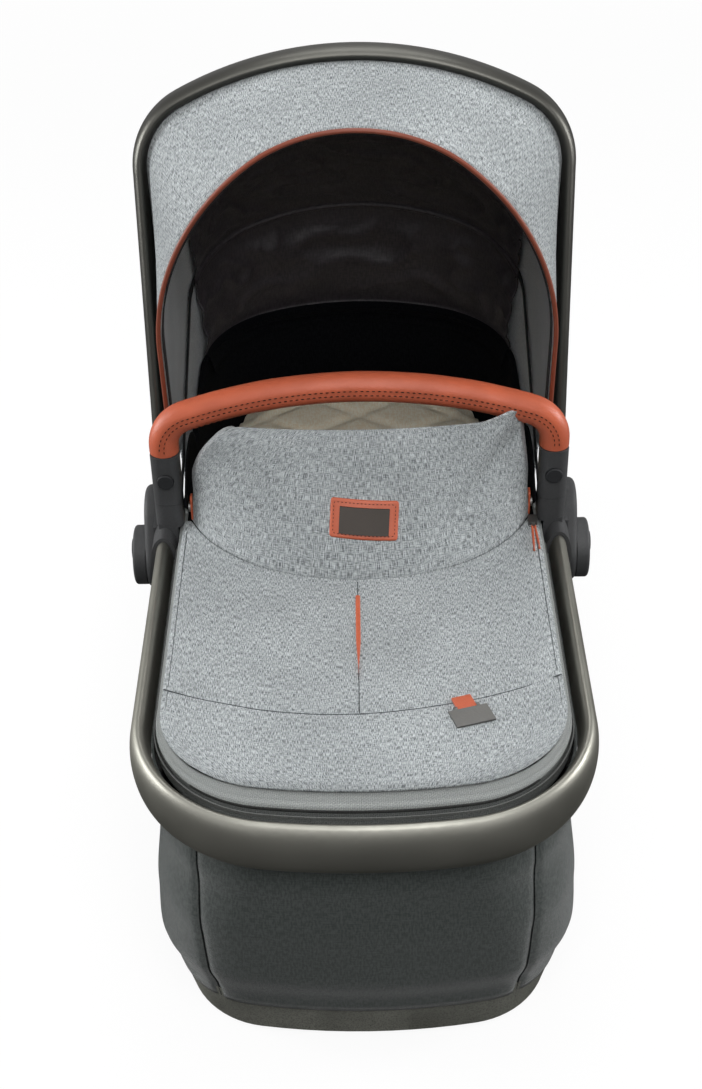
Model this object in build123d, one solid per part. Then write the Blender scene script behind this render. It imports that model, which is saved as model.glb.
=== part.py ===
from build123d import *
import math
import os
from dataclasses import dataclass

# Carrycot of a pram. Lengths are millimetres and angles are degrees.
# While it is drawn, y = 0 is the hub axis, +y points to the head end, +x to the occupant's left
# and z = 0 is the floor. Each finished piece is then moved so that the origin is under the middle.

# Frame tube: an oval tube bent round the foot end
RIM_Z = 252.0
FRAME_HALF = 190.0
FRAME_REACH = 457.0
FRAME_CORNER = 125.0
FRAME_CROWN = 600.0
FRAME_TUBE_WIDE = 18.0
FRAME_TUBE_TALL = 52.0
TUBE_WALL = 2.0

# Tub
TUB_GAP = 5.0
HEAD_REACH = 388.0
HEAD_CORNER = 130.0
HEAD_CROWN = 260.0
BODY_WALL = 3.0
BODY_BULGE = 8.0
BODY_LOW_Z = 85.0
BODY_BULGE_Z = 150.0
BODY_NECK_Z = 222.0
BODY_TOP_Z = 257.0
BASE_TOP_Z = 46.0
BASE_DRAW_IN = 2.0
BASE_FLOOR_DRAW_IN = 13.0
LOW_CORNER_TRIM = 30.0
BASE_WALL = 3.5
BASE_FLOOR = 4.0
FOOT_PAD_TALL = 5.0
FOOT_PAD_RADIUS = 13.0
FOOT_PAD_HALF_SPAN = 105.0
FOOT_PAD_INSET = 70.0
LINER_WALL = 2.0
LINER_TOP_Z = 276.0
LINER_FOOT_DRAW_IN = 14.0
PLATFORM_TOP_Z = 90.0
PLATFORM_WALL = 8.0
MATTRESS_TOP_Z = 150.0
MATTRESS_EDGE_DROP = 9.0
MATTRESS_DRAW_IN = 7.0
MATTRESS_SIDE_GAP = 4.0
CHANNEL_RADIUS = 3.0
CHANNEL_DEPTH = 1.6
CHANNEL_PITCH = 62.0
CHANNEL_ANGLE = 35.0

# Rim band and apron
BAND_WALL = 2.5
BAND_TOP_Z = 277.0
BAND_FOOT_SLOPE = 9.0
BAND_SIDE_SLOPE = 1.5
ZIP_Z = 267.0
ZIP_TALL = 3.0
ZIP_PROUD = 1.0
APRON_WALL = 3.5
APRON_CROWN = 12.0
APRON_FOOT_FLAT = 78.0
APRON_FOOT_CROWN = 2.0
STRIP_WIDE = 4.5
STRIP_START_Y = -186.0
STRIP_END_Y = -297.0
TRIM_WALL = 1.4
TAG_X = 86.0
TAG_Y = -336.0
TAG_TURN = 20.0
TAG_WIDE = 35.0
TAG_TALL = 20.0
TAG_WALL = 1.6
TAG_EYE_RADIUS = 1.6
TAG_PIN_RADIUS = 1.0
TAG_LOOP_WIDE = 17.0
TAG_LOOP_LONG = 13.0
SLIDER_Y = -72.0
SLIDER_WIDE = 9.0
SLIDER_LONG = 13.0
SLIDER_TALL = 5.0
PULL_WIDE = 8.0
PULL_LONG = 40.0
PULL_WALL = 2.4

# Wind flap
FLAP_SIDE_GAP = 15.0
FLAP_FOOT_MID_Y = -158.0
FLAP_FOOT_SIDE_Y = -48.0
FLAP_TOP_DRAW_IN = 13.0
FLAP_TOP_MID_Y = -79.0
FLAP_TOP_SIDE_Y = -66.0
FLAP_TOP_Z = 402.0
FLAP_CORNER = 34.0
FLAP_TOP_TRIM = 14.0
FLAP_WALL = 3.5
PATCH_X = 3.5
PATCH_Z = 334.0
PATCH_TURN = 4.2
PATCH_WIDE = 63.0
PATCH_TALL = 31.0
PLATE_WIDE = 46.0
PLATE_TALL = 20.5
TAB_WIDE = 12.0
TAB_TALL = 27.0
TAB_WALL = 2.4
POPPER_RADIUS = 5.0
POPPER_TALL = 2.0

# Hub layers, from the tub outwards
LAYER_GAP = 0.4
PIN_HEAD_WALL = 1.1
BOW_WALL = 1.6
CHEEK_INNER_WALL = 5.0
KNUCKLE_WALL = 14.8
CHEEK_OUTER_WALL = 12.0
LUG_WALL = 12.7
PIN_RADIUS = 4.0
PIN_HEAD_RADIUS = 7.0
PIN_CLEAR = 0.05
PIN_GRIP = 8.0
CHEEK_INNER_RADIUS = 40.0
CHEEK_OUTER_RADIUS = 32.0
CHEEK_EDGE = 6.0
SCREW_RADIUS = 2.0
SCREW_HEAD_RADIUS = 3.6
SCREW_HEAD_WALL = 2.0
SCREW_GRIP = 10.0
SCREW_SPREAD = 12.0
RIVET_RADIUS = 2.5
RIVET_RECESS = 0.4

# Hub block: tube collar, tongue between the cheeks and bumper socket
COLLAR_WALL = 4.3
COLLAR_FOOT_Y = -80.0
COLLAR_HEAD_Y = -53.0
TONGUE_HEAD_Y = -27.0
TONGUE_HALF_TALL = 24.0
SOCKET_TOP_Z = 308.0
SOCKET_FLOOR_Z = 284.0
SOCKET_BASE_Z = 282.0
FIT_GAP = 0.2

# Chassis lugs
LUG_Y = -19.0
LUG_DROP = 34.0
LUG_RADIUS = 30.0
LUG_LOBE = 3.0
LUG_FLAT = 28.0
LUG_BORE_RADIUS = 4.0
LUG_BORE_DEEP = 18.0
LUG_BUTTON_RADIUS = 11.0
LUG_BUTTON_RISE = 7.0
LUG_BUTTON_WALL = 5.5
LUG_BUTTON_PROUD = 2.5
LUG_POCKET_DEEP = 7.0
BUTTON_GAP = 0.3

# Hood
ARCH_ANGLE = 80.0
ARCH_REACH = 453.0
ARCH_CORNER = 70.0
ARCH_CROWN = 340.0
ARCH_TUBE_THIN = 15.0
ARCH_TUBE_DEEP = 38.0
KNUCKLE_RADIUS = 24.0
KNUCKLE_REACH = 78.0
TENON_LONG = 34.0
HOOD_WALL = 2.5
HOOD_GAP = 0.6
HOOD_SPLIT = 0.6
HOOD_FOOT = 52.0
HOOD_RIM_Z = 270.0
HOOD_RIM_START = 48.0
HOOD_RIM_GAP = 0.8
HOOD_STEPS = 4
HOOD_HEM_CLEAR = 34.0
REAR_BOW_ANGLE = 24.0
REAR_BOW_REACH = 406.0
REAR_BOW_CORNER = 125.0
REAR_BOW_CROWN = 262.0
VISOR_ANGLE = 97.0
VISOR_REACH = 434.0
VISOR_CORNER = 250.0
VISOR_CROWN = 147.0
VISOR_FOOT = 62.0
BOW_DEEP = 9.0
BOW_GAP = 1.6
BOW_EYE_RADIUS = 11.0
PIPING_RADIUS = 3.0

# Bumper bar
BUMPER_DRAW_IN = 6.0
BUMPER_Y = -48.0
BUMPER_TOP_Z = 429.0
BUMPER_CORNER = 34.0
BUMPER_BOW = 2.6
CORE_RADIUS = 10.0
CORE_WALL = 1.8
COVER_RADIUS = 14.5
COVER_END_Z = 362.0
SLEEVE_WIDE = 27.0
SLEEVE_DEEP = 29.0
SLEEVE_CORNER = 9.0
SLEEVE_SEAT = 14.0
SLEEVE_TENON_RADIUS = 9.0
BUTTON_Z = 336.0
BUTTON_RADIUS = 8.0
BUTTON_LONG = 10.0
BUTTON_PROUD = 2.5
BUTTON_POCKET = 12.5
SPRING_WALL = 1.2
SPRING_RADIUS = 4.5

# Places worked out from the sizes above
TUB_HALF = FRAME_HALF - FRAME_TUBE_WIDE / 2 - TUB_GAP
FLAP_HALF = TUB_HALF - FLAP_SIDE_GAP
FLAP_TOP_HALF = FLAP_HALF - FLAP_TOP_DRAW_IN
SLIDER_X = FLAP_HALF + SLIDER_WIDE / 2
BUMPER_HALF = FRAME_HALF - BUMPER_DRAW_IN
BUMPER_CROWN = BUMPER_BOW * BUMPER_HALF
PIN_HEAD_X = TUB_HALF + LAYER_GAP
VISOR_BOW_X = PIN_HEAD_X + PIN_HEAD_WALL + LAYER_GAP / 2
REAR_BOW_X = VISOR_BOW_X + BOW_WALL + LAYER_GAP
CHEEK_INNER_X = REAR_BOW_X + BOW_WALL + LAYER_GAP
KNUCKLE_X = CHEEK_INNER_X + CHEEK_INNER_WALL + LAYER_GAP
CHEEK_OUTER_X = KNUCKLE_X + KNUCKLE_WALL + LAYER_GAP
LUG_X = CHEEK_OUTER_X + CHEEK_OUTER_WALL
ARCH_HALF = KNUCKLE_X + KNUCKLE_WALL / 2
LUG_Z = RIM_Z - LUG_DROP
HEAD_END = HEAD_REACH + BODY_BULGE
FOOT_END = FRAME_REACH + FRAME_TUBE_WIDE / 2
HUB_Y = (FOOT_END - HEAD_END) / 2


@dataclass(frozen=True)
class Arch:
    """One rounded end: two straight sides, two corner arcs and a crown arc."""

    half: float
    reach: float
    corner: float
    crown: float

    def inset(self, by):
        """The same end drawn in by a wall all round."""
        return Arch(self.half - by, self.reach - by, self.corner - by, self.crown - by)

    def toward(self, other, share):
        """An end part of the way from this one to another."""
        ends = zip(vars(self).values(), vars(other).values())
        return Arch(*[a + share * (b - a) for a, b in ends])

    def edges(self, start):
        """Edges from the right foot over the crown to the left foot, in the XY plane."""
        crown_v = self.reach - self.crown
        bend = self.crown - self.corner
        corner_u = self.half - self.corner
        rise = math.sqrt(bend**2 - corner_u**2)
        corner_v = crown_v + math.copysign(rise, bend)
        share = self.crown / bend
        meet = (corner_u * share, crown_v + (corner_v - crown_v) * share)
        turn = math.atan2(meet[1] - corner_v, meet[0] - corner_u) / 2
        middle = (corner_u + self.corner * math.cos(turn), corner_v + self.corner * math.sin(turn))
        side = (self.half, corner_v)

        def left(point):
            return (-point[0], point[1])

        return [
            Line((self.half, start), side),
            ThreePointArc(side, middle, meet),
            ThreePointArc(meet, (0, self.reach), left(meet)),
            ThreePointArc(left(meet), left(middle), left(side)),
            Line(left(side), (-self.half, start)),
        ]


@dataclass(frozen=True)
class Plan:
    """A closed outline seen from above, with a foot end and a head end of the same width."""

    foot: Arch
    head: Arch

    def inset(self, by):
        """The same outline drawn in by a wall all round."""
        return Plan(self.foot.inset(by), self.head.inset(by))

    def face(self, z):
        """The outline's face at height z."""
        edges = self.head.edges(0) + [Rot(0, 0, 180) * edge for edge in self.foot.edges(0)]
        return Pos(0, 0, z) * Face(Wire(edges))


FRAME_ARCH = Arch(FRAME_HALF, FRAME_REACH, FRAME_CORNER, FRAME_CROWN)
HOOP = Arch(ARCH_HALF, ARCH_REACH, ARCH_CORNER, ARCH_CROWN)
RIM = Plan(
    FRAME_ARCH.inset(FRAME_HALF - TUB_HALF),
    Arch(TUB_HALF, HEAD_REACH, HEAD_CORNER, HEAD_CROWN),
)


def narrowed(plan, sides, ends, corner_trim=0.0):
    """A plan drawn in by one amount at its sides and another at its ends, with tighter corners."""
    drawn = [
        Arch(end.half - sides, end.reach - ends, end.corner - ends - corner_trim, end.crown - ends)
        for end in (plan.foot, plan.head)
    ]
    return Plan(*drawn)


def loft_plans(levels):
    """A solid through plans at given heights."""
    return loft([plan.face(z) for z, plan in levels], ruled=True)


def sleeve(levels, wall):
    """An open-ended wall through plans at given heights."""
    return loft_plans(levels) - loft_plans([(z, plan.inset(wall)) for z, plan in levels])


def fan(angle):
    """The plane through the hub axis that leans at an angle above the head end."""
    lean = math.radians(angle)
    return Plane(
        origin=(0, 0, RIM_Z),
        x_dir=(1, 0, 0),
        z_dir=(0, -math.sin(lean), math.cos(lean)),
    )


def band_face(arch, start, wall):
    """A thin hoop-shaped face: an arch and the same arch drawn in by a wall."""
    outer = arch.edges(start)
    inner = arch.inset(wall).edges(start)
    feet = [
        Line(outer[-1] @ 1, inner[-1] @ 1),
        Line(inner[0] @ 0, outer[0] @ 0),
    ]
    return Face(Wire(outer + [feet[0]] + inner + [feet[1]]))


def arch_rod(arch, start, radial, deep):
    """An oval rod swept round an arch from its feet."""
    section = Plane(origin=(arch.half, start, 0), x_dir=(1, 0, 0), z_dir=(0, 1, 0))
    return sweep(section * Ellipse(radial / 2, deep / 2), path=Wire(arch.edges(start)))


def arch_tube(arch, start, radial, deep, wall):
    """An oval tube bent round an arch."""
    outer = arch_rod(arch, start, radial, deep)
    return outer - arch_rod(arch, start, radial - 2 * wall, deep - 2 * wall)


def arch_strip(arch, start, wall, deep):
    """A flat strip bent round an arch, inside the arch's line."""
    return extrude(band_face(arch, start, wall), amount=deep / 2, both=True)


def disc(radius, x, wall, y=0.0, z=RIM_Z):
    """A disc across X on the right side, starting at x."""
    return Pos(x + wall / 2, y, z) * Rot(0, 90, 0) * Cylinder(radius, wall)


def block(low, high):
    """A box between two corners."""
    sizes = [b - a for a, b in zip(low, high)]
    middle = [(a + b) / 2 for a, b in zip(low, high)]
    return Pos(*middle) * Box(*sizes)


def both_sides(right):
    """A right-hand piece and its mirror image as one group."""
    return Compound(children=[right, mirror(right, about=Plane.YZ)])


def pair(nodes, name, right):
    """Adds a right-hand piece and its mirror image as two nodes."""
    nodes[f"{name}_right"] = right
    nodes[f"{name}_left"] = mirror(right, about=Plane.YZ)


def build_tub(nodes):
    """Base tray, feet, foam platform, fabric body, liner and mattress."""
    base_top = narrowed(RIM, BASE_DRAW_IN, 0, LOW_CORNER_TRIM)
    base_floor = narrowed(RIM, BASE_FLOOR_DRAW_IN, 0, LOW_CORNER_TRIM)
    bulge = narrowed(RIM, -BODY_BULGE, -BODY_BULGE, LOW_CORNER_TRIM)
    tray_levels = [(FOOT_PAD_TALL, base_floor), (BASE_TOP_Z - FIT_GAP, base_top)]
    tray = loft_plans(tray_levels)
    tray -= Pos(0, 0, BASE_FLOOR) * loft_plans([(z, p.inset(BASE_WALL)) for z, p in tray_levels])
    nodes["base_tray"] = tray

    pads = [
        Pos(side * FOOT_PAD_HALF_SPAN, y, FOOT_PAD_TALL / 2) * Cylinder(FOOT_PAD_RADIUS, FOOT_PAD_TALL)
        for side in (-1, 1)
        for y in (FOOT_PAD_INSET - FRAME_REACH, HEAD_REACH - FOOT_PAD_INSET)
    ]
    nodes["base_feet"] = Compound(children=pads)

    body_levels = [
        (BASE_TOP_Z, base_top),
        (BODY_LOW_Z, bulge),
        (BODY_BULGE_Z, bulge),
        (BODY_NECK_Z, RIM),
        (BODY_TOP_Z, RIM),
    ]
    nodes["body_shell"] = sleeve(body_levels, BODY_WALL)

    platform = base_floor.inset(BASE_WALL + LAYER_GAP)
    platform_z = FOOT_PAD_TALL + BASE_FLOOR + LAYER_GAP
    deck = loft_plans([(platform_z, platform), (PLATFORM_TOP_Z, platform)])
    under = platform.inset(PLATFORM_WALL)
    deck -= loft_plans([(platform_z, under), (PLATFORM_TOP_Z - PLATFORM_WALL, under)])
    nodes["foam_platform"] = deck

    band_clear = BAND_WALL + LAYER_GAP
    liner_top = narrowed(RIM, BAND_SIDE_SLOPE + band_clear, BAND_FOOT_SLOPE + band_clear)
    liner_foot = narrowed(liner_top, LINER_FOOT_DRAW_IN, 0)
    liner_floor = PLATFORM_TOP_Z + LAYER_GAP
    liner = loft_plans([(liner_floor, liner_foot), (LINER_TOP_Z, liner_top)])
    hollow = [(liner_floor, liner_foot.inset(LINER_WALL)), (LINER_TOP_Z, liner_top.inset(LINER_WALL))]
    liner -= Pos(0, 0, LINER_WALL) * loft_plans(hollow)
    nodes["inner_liner"] = liner

    nodes["mattress"] = mattress(liner_foot.inset(LINER_WALL + MATTRESS_SIDE_GAP), liner_floor + LINER_WALL)


def mattress(widest, floor_z):
    """A crowned pad with drawn-in sides and sewn diagonal channels."""
    low = floor_z + LAYER_GAP
    middle = (low + MATTRESS_TOP_Z) / 2
    drawn = widest.inset(MATTRESS_DRAW_IN)
    pad = loft_plans([(low, drawn), (middle, widest), (MATTRESS_TOP_Z, drawn)])
    half = widest.foot.half
    crown_radius = (half**2 + MATTRESS_EDGE_DROP**2) / (2 * MATTRESS_EDGE_DROP)
    length = 2 * (widest.foot.reach + widest.head.reach)
    crown = Pos(0, 0, MATTRESS_TOP_Z - crown_radius) * Rot(90, 0, 0) * Cylinder(crown_radius, length)
    pad &= crown
    lean = math.radians(CHANNEL_ANGLE)
    reach_y = half * math.tan(lean)
    groove_z = MATTRESS_TOP_Z + CHANNEL_RADIUS - CHANNEL_DEPTH
    first = -widest.foot.reach + CHANNEL_PITCH
    count = int((widest.foot.reach + widest.head.reach) / CHANNEL_PITCH) - 1
    for index in range(count):
        y = first + index * CHANNEL_PITCH
        path = ThreePointArc(
            (-half, y - reach_y, groove_z - MATTRESS_EDGE_DROP),
            (0, y, groove_z),
            (half, y + reach_y, groove_z - MATTRESS_EDGE_DROP),
        )
        start = Plane(origin=path @ 0, z_dir=path % 0)
        pad -= sweep(start * Circle(CHANNEL_RADIUS), path=path)
    return pad


def build_frame(nodes):
    """Front tube, hub blocks, cheeks, pins, screws, rivets and chassis lugs."""
    front = arch_tube(FRAME_ARCH, -COLLAR_HEAD_Y, FRAME_TUBE_WIDE, FRAME_TUBE_TALL, TUBE_WALL)
    rivet_y = (COLLAR_FOOT_Y + COLLAR_HEAD_Y) / 2
    collar_x = FRAME_HALF - FRAME_TUBE_WIDE / 2 - COLLAR_WALL
    collar_wide = FRAME_TUBE_WIDE + 2 * COLLAR_WALL
    rivet = disc(RIVET_RADIUS, collar_x + RIVET_RECESS, collar_wide - 2 * RIVET_RECESS, rivet_y)
    hole_radius = RIVET_RADIUS + PIN_CLEAR
    rivet_hole = disc(hole_radius, collar_x - RIVET_RADIUS, collar_wide + 2 * RIVET_RADIUS, rivet_y)
    front = Pos(0, 0, RIM_Z) * Rot(0, 0, 180) * front
    nodes["front_frame"] = front - both_sides(rivet_hole)
    nodes["frame_rivets"] = both_sides(rivet)

    pair(nodes, "hub_block", hub_block() - rivet_hole - screw_group(SCREW_RADIUS + PIN_CLEAR, 0))
    cheek = disc(CHEEK_INNER_RADIUS, CHEEK_INNER_X, CHEEK_INNER_WALL)
    cheek -= disc(PIN_RADIUS + PIN_CLEAR, CHEEK_INNER_X, CHEEK_INNER_WALL)
    cheek -= screw_group(SCREW_RADIUS + PIN_CLEAR, SCREW_HEAD_RADIUS + PIN_CLEAR)
    pair(nodes, "hub_inner", cheek)
    nodes["hub_screws"] = both_sides(screw_group(SCREW_RADIUS, SCREW_HEAD_RADIUS))

    pin_end = CHEEK_OUTER_X + PIN_GRIP
    shank = disc(PIN_RADIUS, PIN_HEAD_X, pin_end - PIN_HEAD_X)
    nodes["pivot_pins"] = both_sides(shank + disc(PIN_HEAD_RADIUS, PIN_HEAD_X, PIN_HEAD_WALL))

    pair(nodes, "hub_outer", outer_cheek())
    build_lugs(nodes)


def outer_cheek():
    """The hub's outer cover: a rounded plate that spreads down to carry the chassis lug."""
    at = Plane(origin=(CHEEK_OUTER_X, 0, RIM_Z), x_dir=(0, 1, 0), z_dir=(1, 0, 0))
    hub_edge = Circle(CHEEK_OUTER_RADIUS).edges()
    lug_edge = (Pos(LUG_Y, -LUG_DROP) * Circle(LUG_RADIUS + LUG_LOBE)).edges()
    plate = extrude(at * make_hull(hub_edge + lug_edge), amount=CHEEK_OUTER_WALL)
    plate = fillet(plate.faces().sort_by(Axis.X)[-1].edges(), CHEEK_EDGE)
    return plate - disc(PIN_RADIUS + PIN_CLEAR, CHEEK_OUTER_X, PIN_GRIP)


def hub_block():
    """Collar round the frame tube, tongue between the cheeks and socket for the bumper."""
    tall = FRAME_TUBE_TALL / 2 + COLLAR_WALL
    wide = FRAME_TUBE_WIDE / 2 + COLLAR_WALL
    long = COLLAR_HEAD_Y - COLLAR_FOOT_Y
    at = Plane(origin=(FRAME_HALF, COLLAR_FOOT_Y, RIM_Z), x_dir=(1, 0, 0), z_dir=(0, 1, 0))
    collar = at * extrude(Ellipse(wide, tall), amount=long)
    tongue = block(
        (KNUCKLE_X, COLLAR_HEAD_Y, RIM_Z - TONGUE_HALF_TALL),
        (KNUCKLE_X + KNUCKLE_WALL, TONGUE_HEAD_Y, RIM_Z + TONGUE_HALF_TALL),
    )
    neck_half = SLEEVE_DEEP / 2
    neck = block(
        (TUB_HALF + LAYER_GAP, BUMPER_Y - neck_half, RIM_Z),
        (KNUCKLE_X + KNUCKLE_WALL / 2, BUMPER_Y, SOCKET_BASE_Z + COLLAR_WALL),
    )
    boss = extrude(
        Pos(BUMPER_HALF, BUMPER_Y, SOCKET_BASE_Z) * RectangleRounded(SLEEVE_WIDE, SLEEVE_DEEP, SLEEVE_CORNER),
        amount=SOCKET_TOP_Z - SOCKET_BASE_Z,
    )
    solid = collar + tongue + neck + boss
    bore = extrude(
        at * Ellipse(FRAME_TUBE_WIDE / 2 + FIT_GAP, FRAME_TUBE_TALL / 2 + FIT_GAP),
        amount=long,
    )
    socket = Pos(BUMPER_HALF, BUMPER_Y, SOCKET_FLOOR_Z) * Cylinder(
        SLEEVE_TENON_RADIUS + FIT_GAP,
        SOCKET_TOP_Z - SOCKET_FLOOR_Z,
        align=(Align.CENTER, Align.CENTER, Align.MIN),
    )
    return solid - bore - socket


def screw_group(shank, head):
    """Two screws, or the holes for them, that hold the inner cheek to the tongue."""
    solids = []
    y = (TONGUE_HEAD_Y - CHEEK_INNER_RADIUS) / 2
    for side in (-1, 1):
        z = RIM_Z + side * SCREW_SPREAD
        screw = disc(shank, CHEEK_INNER_X, CHEEK_INNER_WALL + SCREW_GRIP, y, z)
        if head:
            screw += disc(head, CHEEK_INNER_X, SCREW_HEAD_WALL, y, z)
        solids.append(screw)
    return Compound(children=solids)


def build_lugs(nodes):
    """Round lugs that the chassis holds, each with a sprung release button."""
    lug = disc(LUG_RADIUS, LUG_X, LUG_WALL, LUG_Y, LUG_Z)
    outer_edges = lug.faces().sort_by(Axis.X)[-1].edges()
    lug = fillet(outer_edges, CHEEK_EDGE / 2)
    flat_z = LUG_Z - LUG_FLAT
    lug -= block(
        (LUG_X, LUG_Y - LUG_RADIUS, LUG_Z - 2 * LUG_RADIUS),
        (LUG_X + LUG_WALL, LUG_Y + LUG_RADIUS, flat_z),
    )
    bore = Cylinder(LUG_BORE_RADIUS, LUG_BORE_DEEP, align=(Align.CENTER, Align.CENTER, Align.MIN))
    lug -= Pos(LUG_X + LUG_WALL / 2, LUG_Y, flat_z) * bore
    button_z = LUG_Z + LUG_BUTTON_RISE
    face_x = LUG_X + LUG_WALL
    pocket_x = face_x - LUG_POCKET_DEEP
    lug -= disc(LUG_BUTTON_RADIUS + BUTTON_GAP, pocket_x, LUG_POCKET_DEEP, LUG_Y, button_z)
    pair(nodes, "chassis_lug", lug)

    button_x = face_x + LUG_BUTTON_PROUD - LUG_BUTTON_WALL
    button = disc(LUG_BUTTON_RADIUS, button_x, LUG_BUTTON_WALL, LUG_Y, button_z)
    button = fillet(button.faces().sort_by(Axis.X)[-1].edges(), LUG_BUTTON_PROUD / 2)
    pair(nodes, "lug_button", button)
    long = button_x - pocket_x - BUTTON_GAP
    spring = disc(SPRING_RADIUS, pocket_x, long, LUG_Y, button_z)
    spring -= disc(SPRING_RADIUS - SPRING_WALL, pocket_x, long, LUG_Y, button_z)
    pair(nodes, "lug_spring", spring)


def build_rim(nodes):
    """Rim band round the tub, zip chain, apron and what is sewn to it."""
    low = RIM
    high = narrowed(RIM, BAND_SIDE_SLOPE, BAND_FOOT_SLOPE)
    low_z = BODY_TOP_Z + LAYER_GAP
    nodes["rim_band"] = sleeve([(low_z, low), (BAND_TOP_Z, high)], BAND_WALL)

    share = (ZIP_Z - low_z) / (BAND_TOP_Z - low_z)
    at_zip = narrowed(RIM, BAND_SIDE_SLOPE * share, BAND_FOOT_SLOPE * share).inset(-BAND_WALL / 2)
    proud = at_zip.inset(-ZIP_PROUD)
    chain = loft_plans([(ZIP_Z, proud), (ZIP_Z + ZIP_TALL, proud)])
    chain -= loft_plans([(ZIP_Z, at_zip), (ZIP_Z + ZIP_TALL, at_zip)])
    foot_half = block(
        (-FRAME_HALF, -FRAME_REACH, ZIP_Z),
        (FRAME_HALF, COLLAR_FOOT_Y, ZIP_Z + ZIP_TALL),
    )
    nodes["zip_chain"] = chain & foot_half

    nodes["apron_panel"] = apron_sheet(0, APRON_WALL) & apron_prism()
    trim_lift = APRON_WALL + LAYER_GAP / 2
    trim = apron_sheet(trim_lift, TRIM_WALL)
    nodes["center_strip"] = trim & block(
        (-STRIP_WIDE / 2, STRIP_END_Y, BAND_TOP_Z),
        (STRIP_WIDE / 2, STRIP_START_Y, SOCKET_TOP_Z),
    )
    build_tag(nodes)
    build_zip_pull(nodes)


def apron_edge_z():
    """Height of the apron's underside at its edge."""
    return BAND_TOP_Z + LAYER_GAP


def apron_arc(y, crown, lift, wall):
    """A thin crowned strip across the apron at one station."""
    half = TUB_HALF
    edge_z = apron_edge_z() + lift
    lower = ThreePointArc((-half, y, edge_z), (0, y, edge_z + crown), (half, y, edge_z))
    upper = ThreePointArc((half, y, edge_z + wall), (0, y, edge_z + crown + wall), (-half, y, edge_z + wall))
    return Face(Wire([lower, Line(lower @ 1, upper @ 0), upper, Line(upper @ 1, lower @ 0)]))


def apron_sheet(lift, wall):
    """The crowned apron surface with a thickness, before its outline is cut."""
    foot_y = -RIM.foot.reach
    stations = [
        (foot_y, APRON_FOOT_CROWN),
        (foot_y + APRON_FOOT_FLAT, APRON_CROWN),
        (0, APRON_CROWN),
    ]
    return loft([apron_arc(y, crown, lift, wall) for y, crown in stations], ruled=True)


def apron_prism():
    """The apron's outline seen from above: the foot end less the wind flap's curved seam."""
    outline = narrowed(RIM, BAND_SIDE_SLOPE, BAND_FOOT_SLOPE)
    prism = extrude(outline.face(apron_edge_z() - APRON_WALL), amount=SOCKET_TOP_Z - BAND_TOP_Z)
    radius, centre_y = flap_circle(FLAP_HALF, FLAP_FOOT_SIDE_Y, FLAP_FOOT_MID_Y)
    cut = Pos(0, centre_y, BAND_TOP_Z) * Cylinder(radius + FLAP_WALL + LAYER_GAP, FRAME_REACH)
    keep = block(
        (-FRAME_HALF, -FRAME_REACH, 0),
        (FRAME_HALF, FLAP_FOOT_SIDE_Y, FLAP_TOP_Z),
    )
    return (prism & keep) - cut


def apron_top_z(x):
    """Height of the apron's upper face at a distance from its middle line."""
    return apron_edge_z() + APRON_WALL + APRON_CROWN * (1 - (x / TUB_HALF) ** 2)


def build_tag(nodes):
    """A blank metal tag that swings on a pin held by a sewn leather loop."""
    slope = math.degrees(math.atan(2 * APRON_CROWN * TAG_X / TUB_HALF**2))
    pin_z = apron_top_z(TAG_X) + TAG_EYE_RADIUS + LAYER_GAP
    place = Pos(TAG_X, TAG_Y, pin_z) * Rot(0, slope, 0) * Rot(0, 0, TAG_TURN)
    plate = block(
        (-TAG_WIDE / 2, -TAG_TALL - TAG_EYE_RADIUS, -TAG_WALL / 2),
        (TAG_WIDE / 2, -TAG_EYE_RADIUS - FIT_GAP, TAG_WALL / 2),
    )
    for side in (-1, 1):
        x = side * (TAG_LOOP_WIDE / 2 + TAG_EYE_RADIUS)
        eye = Pos(x, 0, 0) * Rot(0, 90, 0) * Cylinder(TAG_EYE_RADIUS, 2 * TAG_EYE_RADIUS - 2 * FIT_GAP)
        arm = Pos(x, -TAG_EYE_RADIUS, 0) * Box(2 * TAG_EYE_RADIUS - 2 * FIT_GAP, 2 * TAG_EYE_RADIUS, TAG_WALL)
        plate += eye + arm
    plate -= Rot(0, 90, 0) * Cylinder(TAG_PIN_RADIUS + PIN_CLEAR, TAG_WIDE)
    nodes["tag_plate"] = place * plate
    pin = Rot(0, 90, 0) * Cylinder(TAG_PIN_RADIUS, TAG_LOOP_WIDE + 4 * TAG_EYE_RADIUS)
    loop = Rot(0, 90, 0) * Cylinder(TAG_EYE_RADIUS, TAG_LOOP_WIDE)
    leaf = block(
        (-TAG_LOOP_WIDE / 2, 0, -TAG_EYE_RADIUS),
        (TAG_LOOP_WIDE / 2, TAG_LOOP_LONG, TRIM_WALL - TAG_EYE_RADIUS),
    )
    nodes["tag_loop"] = place * (loop + leaf + pin)


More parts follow.
